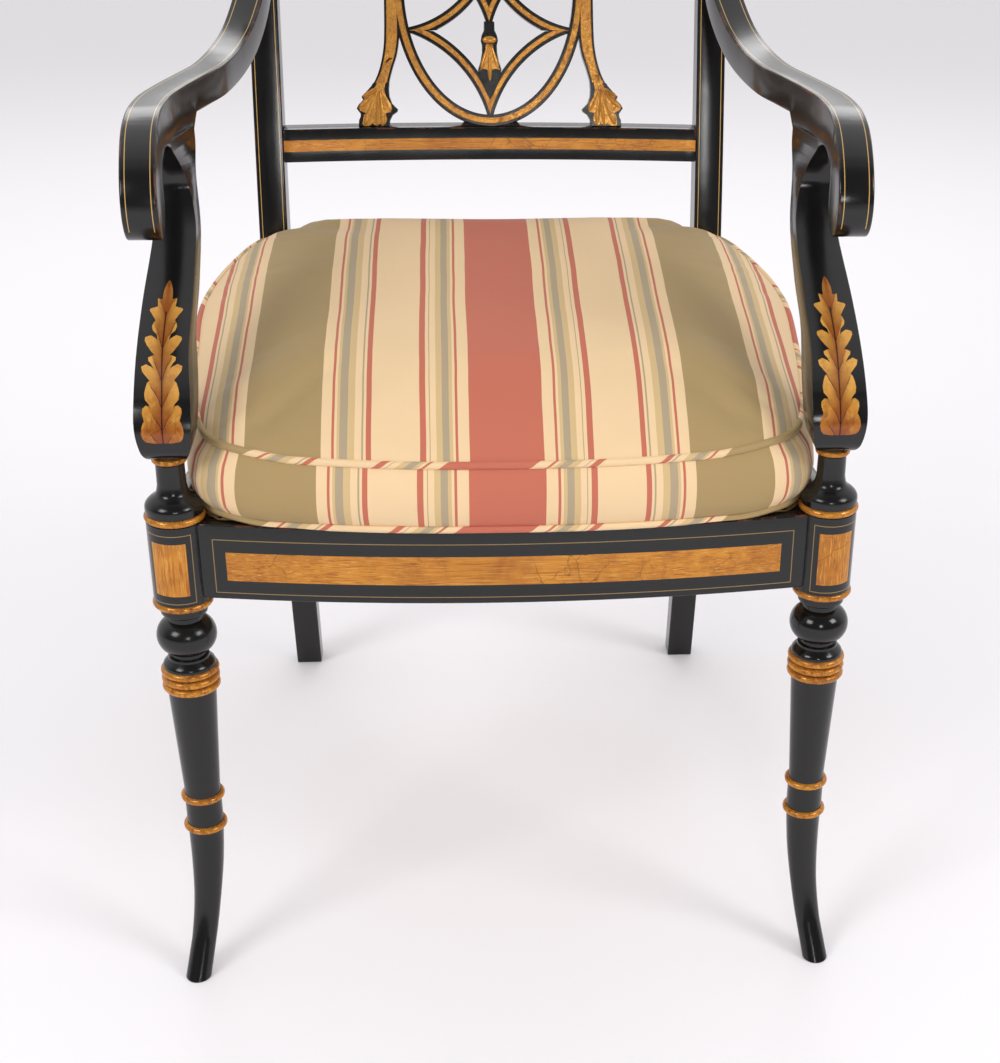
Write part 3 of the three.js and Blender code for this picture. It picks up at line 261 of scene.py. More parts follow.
def post_front(z):
    rise = z - WAIST_Z
    rake, ease = LEG_RAKE if rise < 0 else BACK_RAKE
    return WAIST_Y + rake * (math.hypot(rise, ease) - ease)


def post_depth(z):
    if z < WAIST_Z:
        return blend(FOOT_DEPTH, WAIST_DEPTH, smooth(z / WAIST_Z))
    return blend(WAIST_DEPTH, POST_TOP_DEPTH, smooth((z - WAIST_Z) / (CREST_BOTTOM - WAIST_Z)))


def bead(outer, tube, middle, steps=8):
    line = arc((outer - tube, middle), tube, -90, 90, steps)
    return [tuple(p) for p in line]


# Ways to lay a drawn outline: side is (y, z), front is (x, z), plan is (x, y)
def side_lay(a, b, depth):
    return (depth, a, b)


def front_lay(a, b, depth):
    return (a, depth, b)


def plan_lay(a, b, depth):
    return (a, b, depth)


# Making pieces
def empty_piece():
    """A mesh with room for marks where its edges are rubbed."""
    bm = bmesh.new()
    bm.faces.layers.float.new("rub")
    return bm


def everything(bm):
    return bm.verts[:] + bm.edges[:] + bm.faces[:]


def only(kind, geom):
    return [g for g in geom if isinstance(g, kind)]


def drawn_side(bm, faces):
    """Draws faces out, and gives the corners of the new side."""
    drawn = bmesh.ops.extrude_face_region(bm, geom=faces)["geom"]
    return only(bmesh.types.BMVert, drawn)


def drawn_line(bm, edges):
    """Draws a line of edges out, and gives the corners and edges of the new line."""
    drawn = bmesh.ops.extrude_edge_only(bm, edges=edges)["geom"]
    return only(bmesh.types.BMVert, drawn), only(bmesh.types.BMEdge, drawn)


def board(outline, lay, low, high):
    """An outline drawn as one face and drawn out to a thickness."""
    bm = empty_piece()
    bm.verts.layers.float.new("across")
    face = bm.faces.new([bm.verts.new(lay(p[0], p[1], low)) for p in outline])
    far = drawn_side(bm, [face])
    bmesh.ops.translate(bm, verts=far, vec=Vector(lay(0, 0, high - low)))
    bmesh.ops.recalc_face_normals(bm, faces=bm.faces)
    return bm


def turned(profile, steps=56):
    """A profile of radii and heights spun round the upright axis."""
    bm = empty_piece()
    line = [bm.verts.new((radius, 0, z)) for radius, z in profile]
    edges = [bm.edges.new(pair) for pair in zip(line, line[1:])]
    bmesh.ops.spin(
        bm,
        geom=line + edges,
        cent=(0, 0, 0),
        axis=(0, 0, 1),
        angle=2 * math.pi,
        steps=steps,
        use_merge=True,
    )
    bmesh.ops.remove_doubles(bm, verts=bm.verts, dist=MERGED)
    bmesh.ops.recalc_face_normals(bm, faces=bm.faces)
    return bm


def strips(bm, normal, places):
    """Cuts right across a piece at each place, so that it can be bent."""
    for place in places:
        bmesh.ops.bisect_plane(
            bm,
            geom=everything(bm),
            plane_co=Vector(normal) * place,
            plane_no=normal,
        )


def places(low, high, step):
    count = max(round((high - low) / step), 1)
    return [blend(low, high, i / count) for i in range(1, count)]


def eased(bm, size, segments=3, sharp=38):
    """Rounds the sharp edges and marks the rounding as rubbed."""
    rub = bm.faces.layers.float["rub"]
    limit = math.radians(sharp)
    edges = [e for e in bm.edges if len(e.link_faces) == 2 and e.calc_face_angle() > limit]
    rounded = bmesh.ops.bevel(
        bm,
        geom=edges,
        offset=size,
        offset_type="OFFSET",
        segments=segments,
        profile=0.5,
        affect="EDGES",
        clamp_overlap=True,
        material=-1,
    )
    for face in rounded["faces"]:
        face[rub] = 1


def keep_across(bm):
    """Remembers how far each point lies from the piece's own middle line."""
    across = bm.verts.layers.float["across"]
    for v in bm.verts:
        v[across] = v.co.x


def mirrored(bm):
    """Adds the left half to a right half."""
    bmesh.ops.mirror(
        bm,
        geom=everything(bm),
        axis="X",
        merge_dist=0.00001,
    )
    bmesh.ops.recalc_face_normals(bm, faces=bm.faces)


def add_piece(name, bm, materials, nodes=(), body="frame"):
    """Sets a finished mesh back into the frame as an object that rides on a body."""
    bmesh.ops.translate(bm, verts=bm.verts, vec=(0, SET_BACK, 0))
    mesh = bpy.data.meshes.new(name)
    bm.to_mesh(mesh)
    bm.free()
    mesh.shade_smooth()
    mesh.set_sharp_from_angle(angle=SHARP)
    for face in mesh.polygons:
        if face.loop_total > FLAT_CAP_CORNERS:
            face.use_smooth = False
    for material in materials:
        mesh.materials.append(material)
    obj = bpy.data.objects.new(name, mesh)
    bpy.context.scene.collection.objects.link(obj)
    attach(obj, body)
    if nodes:
        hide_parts(*nodes)
    return obj


def add_pair(name, make, materials, node):
    """A piece on the right and its mirror image on the left, each for its own node."""
    for side in ("right", "left"):
        bm = make()
        if side == "left":
            bmesh.ops.scale(bm, vec=(-1, 1, 1), verts=bm.verts)
            bmesh.ops.reverse_faces(bm, faces=bm.faces)
        nodes = [f"{side}_{node}"] if node else []
        add_piece(f"{side}_{name}", bm, materials, nodes)


# Shader wiring
def paint(red, green, blue):
    """A colour as painters' charts give it, 0 to 255, in the renderer's linear values."""
    linear = []
    for value in (red, green, blue):
        c = value / 255
        linear.append(c / 12.92 if c < 0.04045 else ((c + 0.055) / 1.055) ** 2.4)
    return tuple(linear)


class Wiring:
    """The shader nodes of one finish, added one by one."""

    def __init__(self, name):
        self.material = bpy.data.materials.new(name)
        self.material.use_nodes = True
        self.tree = self.material.node_tree
        self.tree.nodes.clear()
        self.shader = self.tree.nodes.new("ShaderNodeBsdfPrincipled")
        output = self.tree.nodes.new("ShaderNodeOutputMaterial")
        self.tree.links.new(self.shader.outputs["BSDF"], output.inputs["Surface"])
        coordinates = self.tree.nodes.new("ShaderNodeTexCoord")
        self.place = coordinates.outputs["Object"]
        self.facing = coordinates.outputs["Normal"]

    def put(self, socket, value):
        if isinstance(value, bpy.types.NodeSocket):
            self.tree.links.new(value, socket)
        elif isinstance(value, tuple) and len(value) == 3 and socket.type == "RGBA":
            socket.default_value = (*value, 1)
        else:
            socket.default_value = value

    def set(self, **values):
        """Sets the surface's own sockets, by their names with spaces as underscores."""
        for name, value in values.items():
            self.put(self.shader.inputs[name.replace("_", " ")], value)

    def math(self, operation, *values):
        node = self.tree.nodes.new("ShaderNodeMath")
        node.operation = operation
        for socket, value in zip(node.inputs, values):
            self.put(socket, value)
        return node.outputs[0]

    def times(self, first, second):
        return self.math("MULTIPLY", first, second)

    def mix(self, share, first, second):
        node = self.tree.nodes.new("ShaderNodeMix")
        node.data_type = "RGBA"
        self.put(node.inputs[0], share)
        self.put(node.inputs[6], first)
        self.put(node.inputs[7], second)
        return node.outputs[2]

    def tint(self, colour, mask, share, towards):
        """A colour drawn by a share of a mask towards another."""
        return self.mix(self.times(mask, share), colour, towards)

    def axes(self, vector):
        node = self.tree.nodes.new("ShaderNodeSeparateXYZ")
        self.put(node.inputs[0], vector)
        return node.outputs

    def stretch(self, vector, scale):
        node = self.tree.nodes.new("ShaderNodeMapping")
        self.put(node.inputs["Vector"], vector)
        self.put(node.inputs["Scale"], scale)
        return node.outputs[0]

    def shift(self, vector, value, reach):
        node = self.tree.nodes.new("ShaderNodeVectorMath")
        node.operation = "ADD"
        self.put(node.inputs[0], vector)
        self.put(node.inputs[1], self.times(value, reach))
        return node.outputs[0]

    def noise(self, vector, scale, detail=3.0, roughness=0.5, distortion=0.0):
        node = self.tree.nodes.new("ShaderNodeTexNoise")
        self.put(node.inputs["Vector"], vector)
        self.put(node.inputs["Scale"], scale)
        self.put(node.inputs["Detail"], detail)
        self.put(node.inputs["Roughness"], roughness)
        self.put(node.inputs["Distortion"], distortion)
        return node.outputs["Fac"]

    def stripes(self, value, stops):
        """Colours side by side, each from its own place, as a share, up to the next."""
        node = self.tree.nodes.new("ShaderNodeValToRGB")
        node.color_ramp.interpolation = "CONSTANT"
        elements = node.color_ramp.elements
        while len(elements) < len(stops):
            elements.new(1.0)
        for element, (position, colour) in zip(elements, stops):
            element.position = position
            element.color = (*colour, 1)
        self.put(node.inputs[0], value)
        return node.outputs[0]

    def rise(self, value, low, high):
        """0 below one value and 1 above the other."""
        node = self.tree.nodes.new("ShaderNodeMapRange")
        self.put(node.inputs["Value"], value)
        self.put(node.inputs["From Min"], low)
        self.put(node.inputs["From Max"], high)
        return node.outputs[0]

    def band(self, value, middle, half):
        """1 where the value is within half of the middle."""
        return self.math("COMPARE", value, middle, half)

    def frame_line(self, a, b, reach_a, reach_b, half):
        """A thin line round a rectangle, for distances a and b from its middle."""
        inner = self.both(
            self.math("LESS_THAN", a, reach_a - half), self.math("LESS_THAN", b, reach_b - half)
        )
        outer = self.both(
            self.math("LESS_THAN", a, reach_a + half), self.math("LESS_THAN", b, reach_b + half)
        )
        return self.math("SUBTRACT", outer, inner)

    def both(self, *masks):
        value = masks[0]
        for mask in masks[1:]:
            value = self.times(value, mask)
        return value

    def either(self, *masks):
        value = masks[0]
        for mask in masks[1:]:
            value = self.math("MAXIMUM", value, mask)
        return value

    def attribute(self, name):
        node = self.tree.nodes.new("ShaderNodeAttribute")
        node.attribute_name = name
        return node.outputs["Fac"]

    def bump(self, height, strength, distance, below=None):
        node = self.tree.nodes.new("ShaderNodeBump")
        self.put(node.inputs["Height"], height)
        self.put(node.inputs["Strength"], strength)
        self.put(node.inputs["Distance"], distance)
        if below is not None:
            self.put(node.inputs["Normal"], below)
        return node.outputs[0]


# What a user may change
def colour_property(name, description, red, green, blue):
    return bpy.props.FloatVectorProperty(
        name=name,
        description=description,
        subtype="COLOR",
        min=0,
        max=1,
        default=paint(red, green, blue),
    )


def length_property(name, description, default):
    return bpy.props.FloatProperty(
        name=name, description=description, unit="LENGTH", min=0, default=default
    )


class ChairFinishes(bpy.types.PropertyGroup):
    lacquer: colour_property("Lacquer", "Black lacquer on the beech", 17, 16, 16)
    worn: colour_property("Worn edge", "Red-brown wood where the lacquer is rubbed", 104, 58, 34)
    gilt: colour_property("Gilt", "Gold of the panels, beads and splat", 204, 135, 45)
    # Pale gold: the pale streaks in rubbed gilding, and the painted highlight on the splat's gilding
    # and the supports' leaves
    gilt_pale_and_highlight: colour_property("Gilt light", "Pale gold where the leaf is whole", 228, 172, 84)
    gilt_shade: colour_property("Gilt shade", "Red-brown under rubbed gilding", 134, 64, 22)
    line: colour_property("Line", "Paint of the thin lines", 190, 152, 88)
    olive: colour_property("Olive", "Broad olive stripe", 172, 146, 100)
    red: colour_property("Red", "Broad red stripe", 199, 112, 90)
    cream: colour_property("Cream", "Ground of the cloth", 238, 206, 162)
    tan: colour_property("Tan", "Stripes beside the slate ones", 214, 184, 134)
    slate: colour_property("Slate", "Blue-grey stripe", 178, 160, 132)
    beech: colour_property("Beech", "Bare wood of blocks and dowels", 196, 152, 104)
    cane: colour_property("Cane", "Woven seat", 212, 172, 112)
    steel: colour_property("Steel", "Screws", 142, 142, 145)
    pinstripe: length_property("Pinstripe", "Width of the painted gold lines", 0.0007)
    wear: bpy.props.FloatProperty(
        name="Wear",
        description="How far the lacquer is rubbed through at the edges",
        subtype="FACTOR",
        min=0,
        max=1,
        default=0.8,
    )


class ChairForms(bpy.types.PropertyGroup):
    edge: length_property("Edge", "Rounding of the sawn pieces' edges", 0.0013)
    arm_edge: length_property("Arm edge", "Rounding of the arms' edges", 0.0026)
    relief: length_property("Relief", "How far the gilt bands stand up", 0.0005)
    piping: length_property("Piping", "Radius of the cushion's piping", 0.0031)
    swell: bpy.props.FloatProperty(
        name="Swell", description="Pressure inside the cushion", min=0, default=4.0
    )
    crown: length_property("Crown", "Crown of the cushion before it swells", 0.037)
    reach: length_property("Reach", "Furthest that the cover may move", 0.007)


class ChairStudio(bpy.types.PropertyGroup):
    floor: colour_property("Floor", "Pale studio floor", 246, 243, 247)
    lamp: bpy.props.FloatProperty(
        name="Lamp", description="Power of each soft lamp", unit="POWER", min=0, default=38.0
    )
    sky: bpy.props.FloatProperty(
        name="Sky", description="Strength of the even light all round", min=0, default=0.88
    )
    lens: bpy.props.FloatProperty(
        name="Lens", description="Focal length", unit="CAMERA", min=1, default=62.05
    )


def finishes():
    return bpy.context.scene.chair_finishes


def forms():
    return bpy.context.scene.chair_forms


# Finishes
# Grain of the gilding, as its fineness along x, y and z
EVEN_GRAIN = (260.0, 260.0, 260.0)
LEG_GRAIN = (560.0, 560.0, 36.0)
RAIL_GRAIN = (16.0, 700.0, 860.0)
BACK_GRAIN = (24.0, 800.0, 800.0)
SPLAT_GRAIN = (420.0, 420.0, 120.0)
LEAF_GRAIN = (160.0, 160.0, 60.0)
# Shares of pale gold laid over the splat's bands and over its carving as a painted highlight
BAND_PAINTED_HIGHLIGHT = 0.3
CARVED_PAINTED_HIGHLIGHT = 0.4


def gold(w, grain):
    """Rubbed gilding: warm patches, dark and light streaks along the grain, and fine cracks."""
    shade = tuple(finishes().gilt_shade)
    bright = tuple(finishes().gilt)
    pale = tuple(finishes().gilt_pale_and_highlight)
    stretched = w.stretch(w.place, grain)
    patches = w.rise(w.noise(w.place, 30.0, 5.0, 0.65), 0.46, 0.7)
    dull = w.rise(w.noise(w.place, 12.0, 3.0), 0.4, 0.7)
    streaks = w.rise(w.noise(stretched, 1.0, 3.0, 0.6), 0.53, 0.66)
    glints = w.rise(w.noise(stretched, 1.7, 3.0, 0.6), 0.53, 0.66)
    cracks = w.tree.nodes.new("ShaderNodeTexVoronoi")
    cracks.feature = "DISTANCE_TO_EDGE"
    wavy = w.noise(w.place, 90.0, 3.0)
    w.put(cracks.inputs["Vector"], w.shift(w.place, wavy, 0.012))
    w.put(cracks.inputs["Scale"], 46.0)
    crack = w.math("SUBTRACT", 1.0, w.rise(cracks.outputs["Distance"], 0.0, 0.018))
    crack = w.both(crack, w.rise(w.noise(w.place, 16.0, 2.0), 0.48, 0.58))
    colour = w.tint(bright, dull, 0.3, shade)
    colour = w.tint(colour, patches, 0.6, shade)
    colour = w.tint(colour, glints, 0.6, pale)
    colour = w.tint(colour, streaks, 0.62, shade)
    return w.tint(colour, crack, 0.65, tuple(0.4 * c for c in shade))


def lacquered(name, painted=None, grain=None):
    """Black lacquer rubbed brown at the edges; painted gives the masks of its gilding and lines."""
    w = Wiring(name)
    settings = finishes()
    fine = w.noise(w.place, 60.0, 5.0, 0.6)
    broad = w.noise(w.place, 11.0, 3.0)
    edge = w.both(w.attribute("rub"), w.rise(fine, 0.5, 0.62), w.rise(broad, 0.4, 0.6))
    scuffs = w.times(w.rise(w.noise(w.place, 24.0, 6.0, 0.7), 0.66, 0.8), 0.35)
    worn = w.times(w.either(edge, scuffs), settings.wear)
    colour = w.mix(worn, tuple(settings.lacquer), tuple(settings.worn))
    roughness = w.math("ADD", 0.09, w.times(broad, 0.2))
    if painted:
        gilt, line = painted(w)
        if line is not None:
            colour = w.mix(line, colour, tuple(settings.line))
        if gilt is not None:
            colour = w.mix(gilt, colour, gold(w, grain))
            roughness = w.math("ADD", roughness, w.times(gilt, 0.16))
            w.set(Metallic=w.times(gilt, 0.35))
    w.set(Base_Color=colour, Roughness=roughness, Specular_IOR_Level=0.5)
    w.set(Normal=w.bump(fine, 0.12, 0.0006, w.bump(broad, 0.2, 0.004)))
    return w.material


def gilded(name, grain=EVEN_GRAIN, bright=0.0):
    """Gilding all over, rubbed to the wood; bright is the share of pale gold mixed in all over as a
    painted highlight.
    """
    w = Wiring(name)
    settings = finishes()
    rubbed = w.rise(w.noise(w.place, 190.0, 5.0, 0.75), 0.52, 0.66)
    # bright mixes pale gold over the whole piece: a painted highlight
    leaf = w.mix(bright, gold(w, grain), tuple(settings.gilt_pale_and_highlight))
    colour = w.tint(leaf, rubbed, 0.7, tuple(settings.worn))
    roughness = w.math("ADD", 0.26, w.times(rubbed, 0.3))
    w.set(Base_Color=colour, Roughness=roughness, Metallic=0.45)
    w.set(Normal=w.bump(w.noise(w.place, 420.0, 3.0), 0.3, 0.0005))
    return w.material


def bare_wood(name):
    w = Wiring(name)
    grain = w.noise(w.stretch(w.place, (40.0, 260.0, 400.0)), 1.0, 5.0, 0.65, 0.4)
    flecks = w.rise(w.noise(w.stretch(w.place, (300.0, 90.0, 900.0)), 1.0, 2.0), 0.62, 0.7)
    light = tuple(finishes().beech)
    dark = tuple(0.5 * c for c in light)
    colour = w.mix(w.rise(grain, 0.3, 0.75), light, dark)
    colour = w.tint(colour, flecks, 0.4, dark)
    w.set(Base_Color=colour, Roughness=w.math("ADD", 0.55, w.times(grain, 0.2)))
    w.set(Normal=w.bump(grain, 0.25, 0.0006))
    return w.material


def steel(name):
    w = Wiring(name)
    tarnish = w.rise(w.noise(w.place, 500.0, 4.0), 0.4, 0.7)
    bright = tuple(finishes().steel)
    w.set(Base_Color=w.mix(tarnish, bright, tuple(0.45 * c for c in bright)), Metallic=0.9)
    w.set(Roughness=w.math("ADD", 0.35, w.times(tarnish, 0.3)))
    w.set(Normal=w.bump(tarnish, 0.2, 0.0003))
    return w.material


def front_facing(w):
    return w.math("LESS_THAN", w.axes(w.facing)[1], -0.45)


def away(w, value, middle):
    """How far a value lies from a middle, either way."""
    return w.math("ABSOLUTE", w.math("SUBTRACT", value, middle))


def panel(w, a, b, reach_a, reach_b):
    """A filled rectangle, for distances a and b from its middle."""
    return w.both(w.math("LESS_THAN", a, reach_a), w.math("LESS_THAN", b, reach_b))


# Gilt panels: the height of the middle, and half sizes of the gilding and of the line round it
RAIL_PANEL_Z = 0.3815
RAIL_PANEL = (0.2185, 0.0122)
RAIL_LINE = (0.228, 0.0228)
BLOCK_PANEL_Z = 0.3812
BLOCK_PANEL = (0.0147, 0.0225)
BLOCK_LINE = (0.0195, 0.0292)
CREST_PANEL_Z = 0.8805
CREST_PANEL = (0.186, 0.0085)
CREST_LINE = (0.2, 0.0155)
BACK_BAND_Z = 0.5965
BACK_BAND_HALF = 0.0051
# How far the panel on a leg's block is turned outwards, along its face
BLOCK_PANEL_TURN = 0.0052
# How far the lines on the posts and the arms lie from the piece's middle, and where a post's start
POST_LINE_OUT = 0.0101
POST_LINE_START = 0.45
ARM_LINE_OUT = 0.0093
# Share of the paint that is left of the lines on the front rail and the legs' blocks
FAINT_LINE = 0.5


def front_rail_gilding(w):
    half = finishes().pinstripe / 2
    x, _, z = w.axes(w.place)
    a = w.math("ABSOLUTE", x)
    b = away(w, z, RAIL_PANEL_Z)
    front = front_facing(w)
    gilt = w.both(front, panel(w, a, b, *RAIL_PANEL))
    return gilt, w.both(front, w.frame_line(a, b, *RAIL_LINE, half), FAINT_LINE)


def leg_block_gilding(w):
    half = finishes().pinstripe / 2
    x, y, z = w.axes(w.place)
    out = w.math("SUBTRACT", w.math("ABSOLUTE", x), LEG_X)
    forward = w.math("SUBTRACT", LEG_Y + SET_BACK, y)
    round_block = w.times(w.math("ARCTAN2", out, forward), BLOCK_RADIUS)
    a = away(w, round_block, BLOCK_PANEL_TURN)
    b = away(w, z, BLOCK_PANEL_Z)
    gilt = panel(w, a, b, *BLOCK_PANEL)
    return gilt, w.both(w.frame_line(a, b, *BLOCK_LINE, half), FAINT_LINE)


def post_lines(w):
    half = finishes().pinstripe / 2
    x, _, z = w.axes(w.place)
    from_middle = away(w, w.math("ABSOLUTE", x), POST_MIDDLE)
    line = w.band(from_middle, POST_LINE_OUT, half)
    return None, w.both(line, front_facing(w), w.math("GREATER_THAN", z, POST_LINE_START))


def arm_lines(w):
    half = finishes().pinstripe / 2
    line = w.band(w.math("ABSOLUTE", w.attribute("across")), ARM_LINE_OUT, half)
    facing = w.axes(w.facing)
    level_across = w.math("LESS_THAN", w.math("ABSOLUTE", facing[0]), 0.6)
    return None, w.both(line, level_across, w.math("GREATER_THAN", facing[2], -0.6))


def back_rail_gilding(w):
    b = away(w, w.axes(w.place)[2], BACK_BAND_Z)
    return w.both(front_facing(w), w.math("LESS_THAN", b, BACK_BAND_HALF)), None


def crest_gilding(w):
    half = finishes().pinstripe / 2
    x, _, z = w.axes(w.place)
    a = w.math("ABSOLUTE", x)
    b = away(w, z, CREST_PANEL_Z)
    front = front_facing(w)
    gilt = w.both(front, panel(w, a, b, *CREST_PANEL))
    return gilt, w.both(front, w.frame_line(a, b, *CREST_LINE, half))


# Front legs and stumps
def leg_profile():
    ankle = through([(0.0106, 0.03), (0.0115, 0.062), (0.0133, 0.095), (0.0146, 0.126)], 14)
    shaft = through([(0.0148, 0.168), (0.0171, 0.216), (0.0196, 0.2664)], 10)
    ball = []
    for i in range(1, 20):
        angle = -math.pi / 2 + math.pi * i / 20
        radius = max(0.024 * math.cos(angle) ** (2 / 3), 0.0143)
        ball.append((radius, 0.315 + 0.0165 * math.sin(angle)))
    return [
        (0, 0),
        (0.0098, 0),
        (0.0108, 0.001),
        *ankle,
        *bead(*ANKLE_BEAD_SIZE, ANKLE_BEADS[0]),
        (0.0151, 0.1375),
        (0.0151, 0.1575),
        *bead(*ANKLE_BEAD_SIZE, ANKLE_BEADS[1]),
        *shaft,
        *[p for z in KNEE_BEADS for p in bead(*KNEE_BEAD_SIZE, z)],
        *[tuple(p) for p in through([(0.0212, 0.2874), (0.0205, 0.2905), (0.0166, 0.2945)], 6)],
        (0.0163, 0.2965),
        (0.0143, 0.2968),
        *ball,
        (0.0143, 0.3335),
        *[tuple(p) for p in through([(0.016, 0.3345), (0.0183, 0.3358), (0.0188, 0.338)], 5)],
        (0.0183, 0.3428),
        *bead(*BLOCK_BEAD_SIZE, LOWER_BEAD),
        (BLOCK_RADIUS, 0.3492),
        (BLOCK_RADIUS, 0.4168),
        *bead(*BLOCK_BEAD_SIZE, UPPER_BEAD),
        (0, 0.4231),
    ]


def gild_beads(bm, heights, outer, tube):
    """Gives the second finish to the faces of the beads at these heights."""
    for face in bm.faces:
        middle = face.calc_center_median()
        radius = math.hypot(middle.x, middle.y)
        if radius > outer - tube and any(abs(middle.z - height) < tube for height in heights):
            face.material_index = 1


def front_leg():
    bm = turned(leg_profile())
    gild_beads(bm, ANKLE_BEADS, *ANKLE_BEAD_SIZE)
    gild_beads(bm, KNEE_BEADS, *KNEE_BEAD_SIZE)
    gild_beads(bm, (LOWER_BEAD, UPPER_BEAD), *BLOCK_BEAD_SIZE)
    for v in bm.verts:
        kick = max(1 - v.co.z / TOE_START, 0) ** TOE_CURL
        v.co.x += LEG_X + TOE_OUT * kick
        v.co.y += LEG_Y - TOE_FORWARD * kick
    return bm


def arm_stump():
    flare = through(
        [(0.0224, 0.4236), (0.0222, 0.430), (0.0187, 0.4345), (0.0132, 0.4388), (0.0113, 0.446)], 14
    )
    bm = turned(
        [
            (0, STUMP_BOTTOM),
            (0.0218, STUMP_BOTTOM),
            *[tuple(p) for p in flare],
            (0.0111, 0.4635),
            (0.0122, 0.4643),
            *bead(*STUMP_BEAD_SIZE, STUMP_BEAD),
            (0.0112, 0.4698),
            (0.0112, 0.4712),
            (0, 0.4712),
        ]
    )
    gild_beads(bm, (STUMP_BEAD,), *STUMP_BEAD_SIZE)
    bmesh.ops.translate(bm, verts=bm.verts, vec=(LEG_X, LEG_Y, 0))
    return bm


# Arms
ARM_RUN = post_front(ARM_JOIN) - ARM_FRONT
# The top from the knuckle to the post: share of the run, share of the climb from dip to post
ARM_TOP_SHARES = (
    (0.31, -0.012),
    (0.416, -0.004),
    (0.52, 0),
    (0.622, 0.03),
    (0.705, 0.107),
    (0.777, 0.236),
    (0.839, 0.39),
    (0.901, 0.622),
    (0.957, 0.828),
    (1.035, 1.137),
)
# The same in plan: share of the run, share of the way in from the widest place to the post
ARM_DRAW_SHARES = (
    (-0.1, 0.09),
    (0.02, 0.05),
    (0.13, 0),
    (0.25, 0.018),
    (0.334, 0.158),
    (0.416, 0.35),
    (0.5, 0.526),
    (0.622, 0.684),
    (0.726, 0.825),
    (0.829, 0.947),
    (0.932, 1),
    (1.1, 1),
)
ARM_LINE = [
    (p.x, p.y)
    for p in through(
        [
            (ARM_FRONT + ARM_RUN * run, ARM_WIDEST - (ARM_WIDEST - POST_MIDDLE) * draw)
            for run, draw in ARM_DRAW_SHARES
        ],
        90,
    )
]


def arm_middle(y):
    return level(ARM_LINE, y)


SEAM_START = HOOK_Y + math.sqrt(HOOK_RADIUS**2 - (ARM_SEAM - HOOK_Z) ** 2)
SEAM_END = HOOK_Y + HOOK_RADIUS + SUPPORT_SEAT


def arm_outline():
    """The arm from the side: knuckle, top, underside, then back round the hook and the scroll."""
    knuckle = []
    for i in range(24):
        angle = math.pi - math.pi * i / 48
        y = ARM_FRONT + KNUCKLE_REACH * (1 + math.cos(angle))
        knuckle.append(Vector((y, SCROLL_Z + (ARM_CROWN - SCROLL_Z) * math.sin(angle))))
    top = through(
        [(ARM_FRONT + KNUCKLE_REACH, ARM_CROWN)]
        + [
            (ARM_FRONT + ARM_RUN * run, ARM_DIP + (ARM_JOIN - ARM_DIP) * rise)
            for run, rise in ARM_TOP_SHARES
        ],
        110,
    )
    under = []
    for before, p, after in zip(top, top[1:], top[2:]):
        run = (after - before).normalized()
        under.append(p + Vector((run.y, -run.x)) * ARM_THICKNESS)
    under = [p for p in under if p.x > SEAM_END + 0.005]
    top = to_post(top)
    under = to_post(under)
    hook_to_scroll = Vector((ARM_FRONT + SCROLL_RADIUS - HOOK_Y, SCROLL_Z - HOOK_Z))
    span = hook_to_scroll.length
    along = (HOOK_RADIUS**2 - SCROLL_RADIUS**2 + span**2) / (2 * span)
    turn = math.degrees(math.acos(along / HOOK_RADIUS))
    toward = math.degrees(math.atan2(hook_to_scroll.y, hook_to_scroll.x))
    start = math.degrees(math.atan2(ARM_SEAM - HOOK_Z, SEAM_START - HOOK_Y))
    hook = arc((HOOK_Y, HOOK_Z), HOOK_RADIUS, start, toward - turn, 30)
    meeting = hook[-1] - Vector((ARM_FRONT + SCROLL_RADIUS, SCROLL_Z))
    scroll_start = math.degrees(math.atan2(meeting.y, meeting.x))
    middle = (ARM_FRONT + SCROLL_RADIUS, SCROLL_Z)
    scroll = arc(middle, SCROLL_RADIUS, scroll_start, -180, 36)
    return [*knuckle, *top, *reversed(under), Vector((SEAM_END, ARM_SEAM)), *hook, *scroll[1:-1]]


def to_post(line):
    """A line towards the back, up to its first place inside the post."""
    inside = [i for i, p in enumerate(line) if p.x > post_front(p.y) + 0.001]
    return line[: inside[0] + 1] if inside else line


def arm():
    bm = board(arm_outline(), side_lay, -ARM_WIDTH / 2, ARM_WIDTH / 2)
    eased(bm, forms().arm_edge, 4)
    strips(bm, (0, 1, 0), places(ARM_FRONT, post_front(ARM_JOIN), 0.007))
    keep_across(bm)
    for v in bm.verts:
        v.co.x += arm_middle(v.co.y)
    return bm


# Arm supports
BELLY_Y = LEG_Y - SUPPORT_REACH
SUPPORT_SWEEP = HOOK_Y + HOOK_RADIUS - BELLY_Y
SUPPORT_HEIGHT = ARM_SEAM - SUPPORT_BOTTOM
# Front and back edges from the side: share of the height, share of the sweep from belly to hook
SUPPORT_FRONT_SHARES = (
    (0, 0.075),
    (0.021, 0.03),
    (0.064, 0.006),
    (0.146, 0),
    (0.251, 0.072),
    (0.371, 0.267),
    (0.502, 0.517),
    (0.591, 0.683),
    (0.661, 0.811),
    (0.728, 0.917),
    (0.819, 0.99),
    (0.92, 0.967),
    (1, 0.875),
    (1.03, 0.875),
)
SUPPORT_BACK_SHARES = (
    (0, 0.197),
    (0.045, 0.234),
    (0.146, 0.267),
    (0.251, 0.35),
    (0.371, 0.544),
    (0.502, 0.778),
    (0.699, 1.033),
    (0.899, 1.172),
    (1, 1.1945),
    (1.03, 1.1945),
)
# From the front: share of the height, share of the shift out to the arm, share of the width
SUPPORT_WIDTH_SHARES = (
    (0, -0.1, 0.58),
    (0.043, -0.1, 0.86),
    (0.146, -0.1, 1),
    (0.251, -0.1, 1),
    (0.371, 0.15, 0.93),
    (0.502, 0.1, 0.905),
    (0.699, 0, 0.786),
    (0.899, 0.8, 0.667),
    (1, 1, 0.646),
    (1.03, 1, 0.646),
)


def support_line(shares, steps):
    line = []
    for rise, sweep in shares:
        line.append((BELLY_Y + SUPPORT_SWEEP * sweep, SUPPORT_BOTTOM + SUPPORT_HEIGHT * rise))
    return through(line, steps)


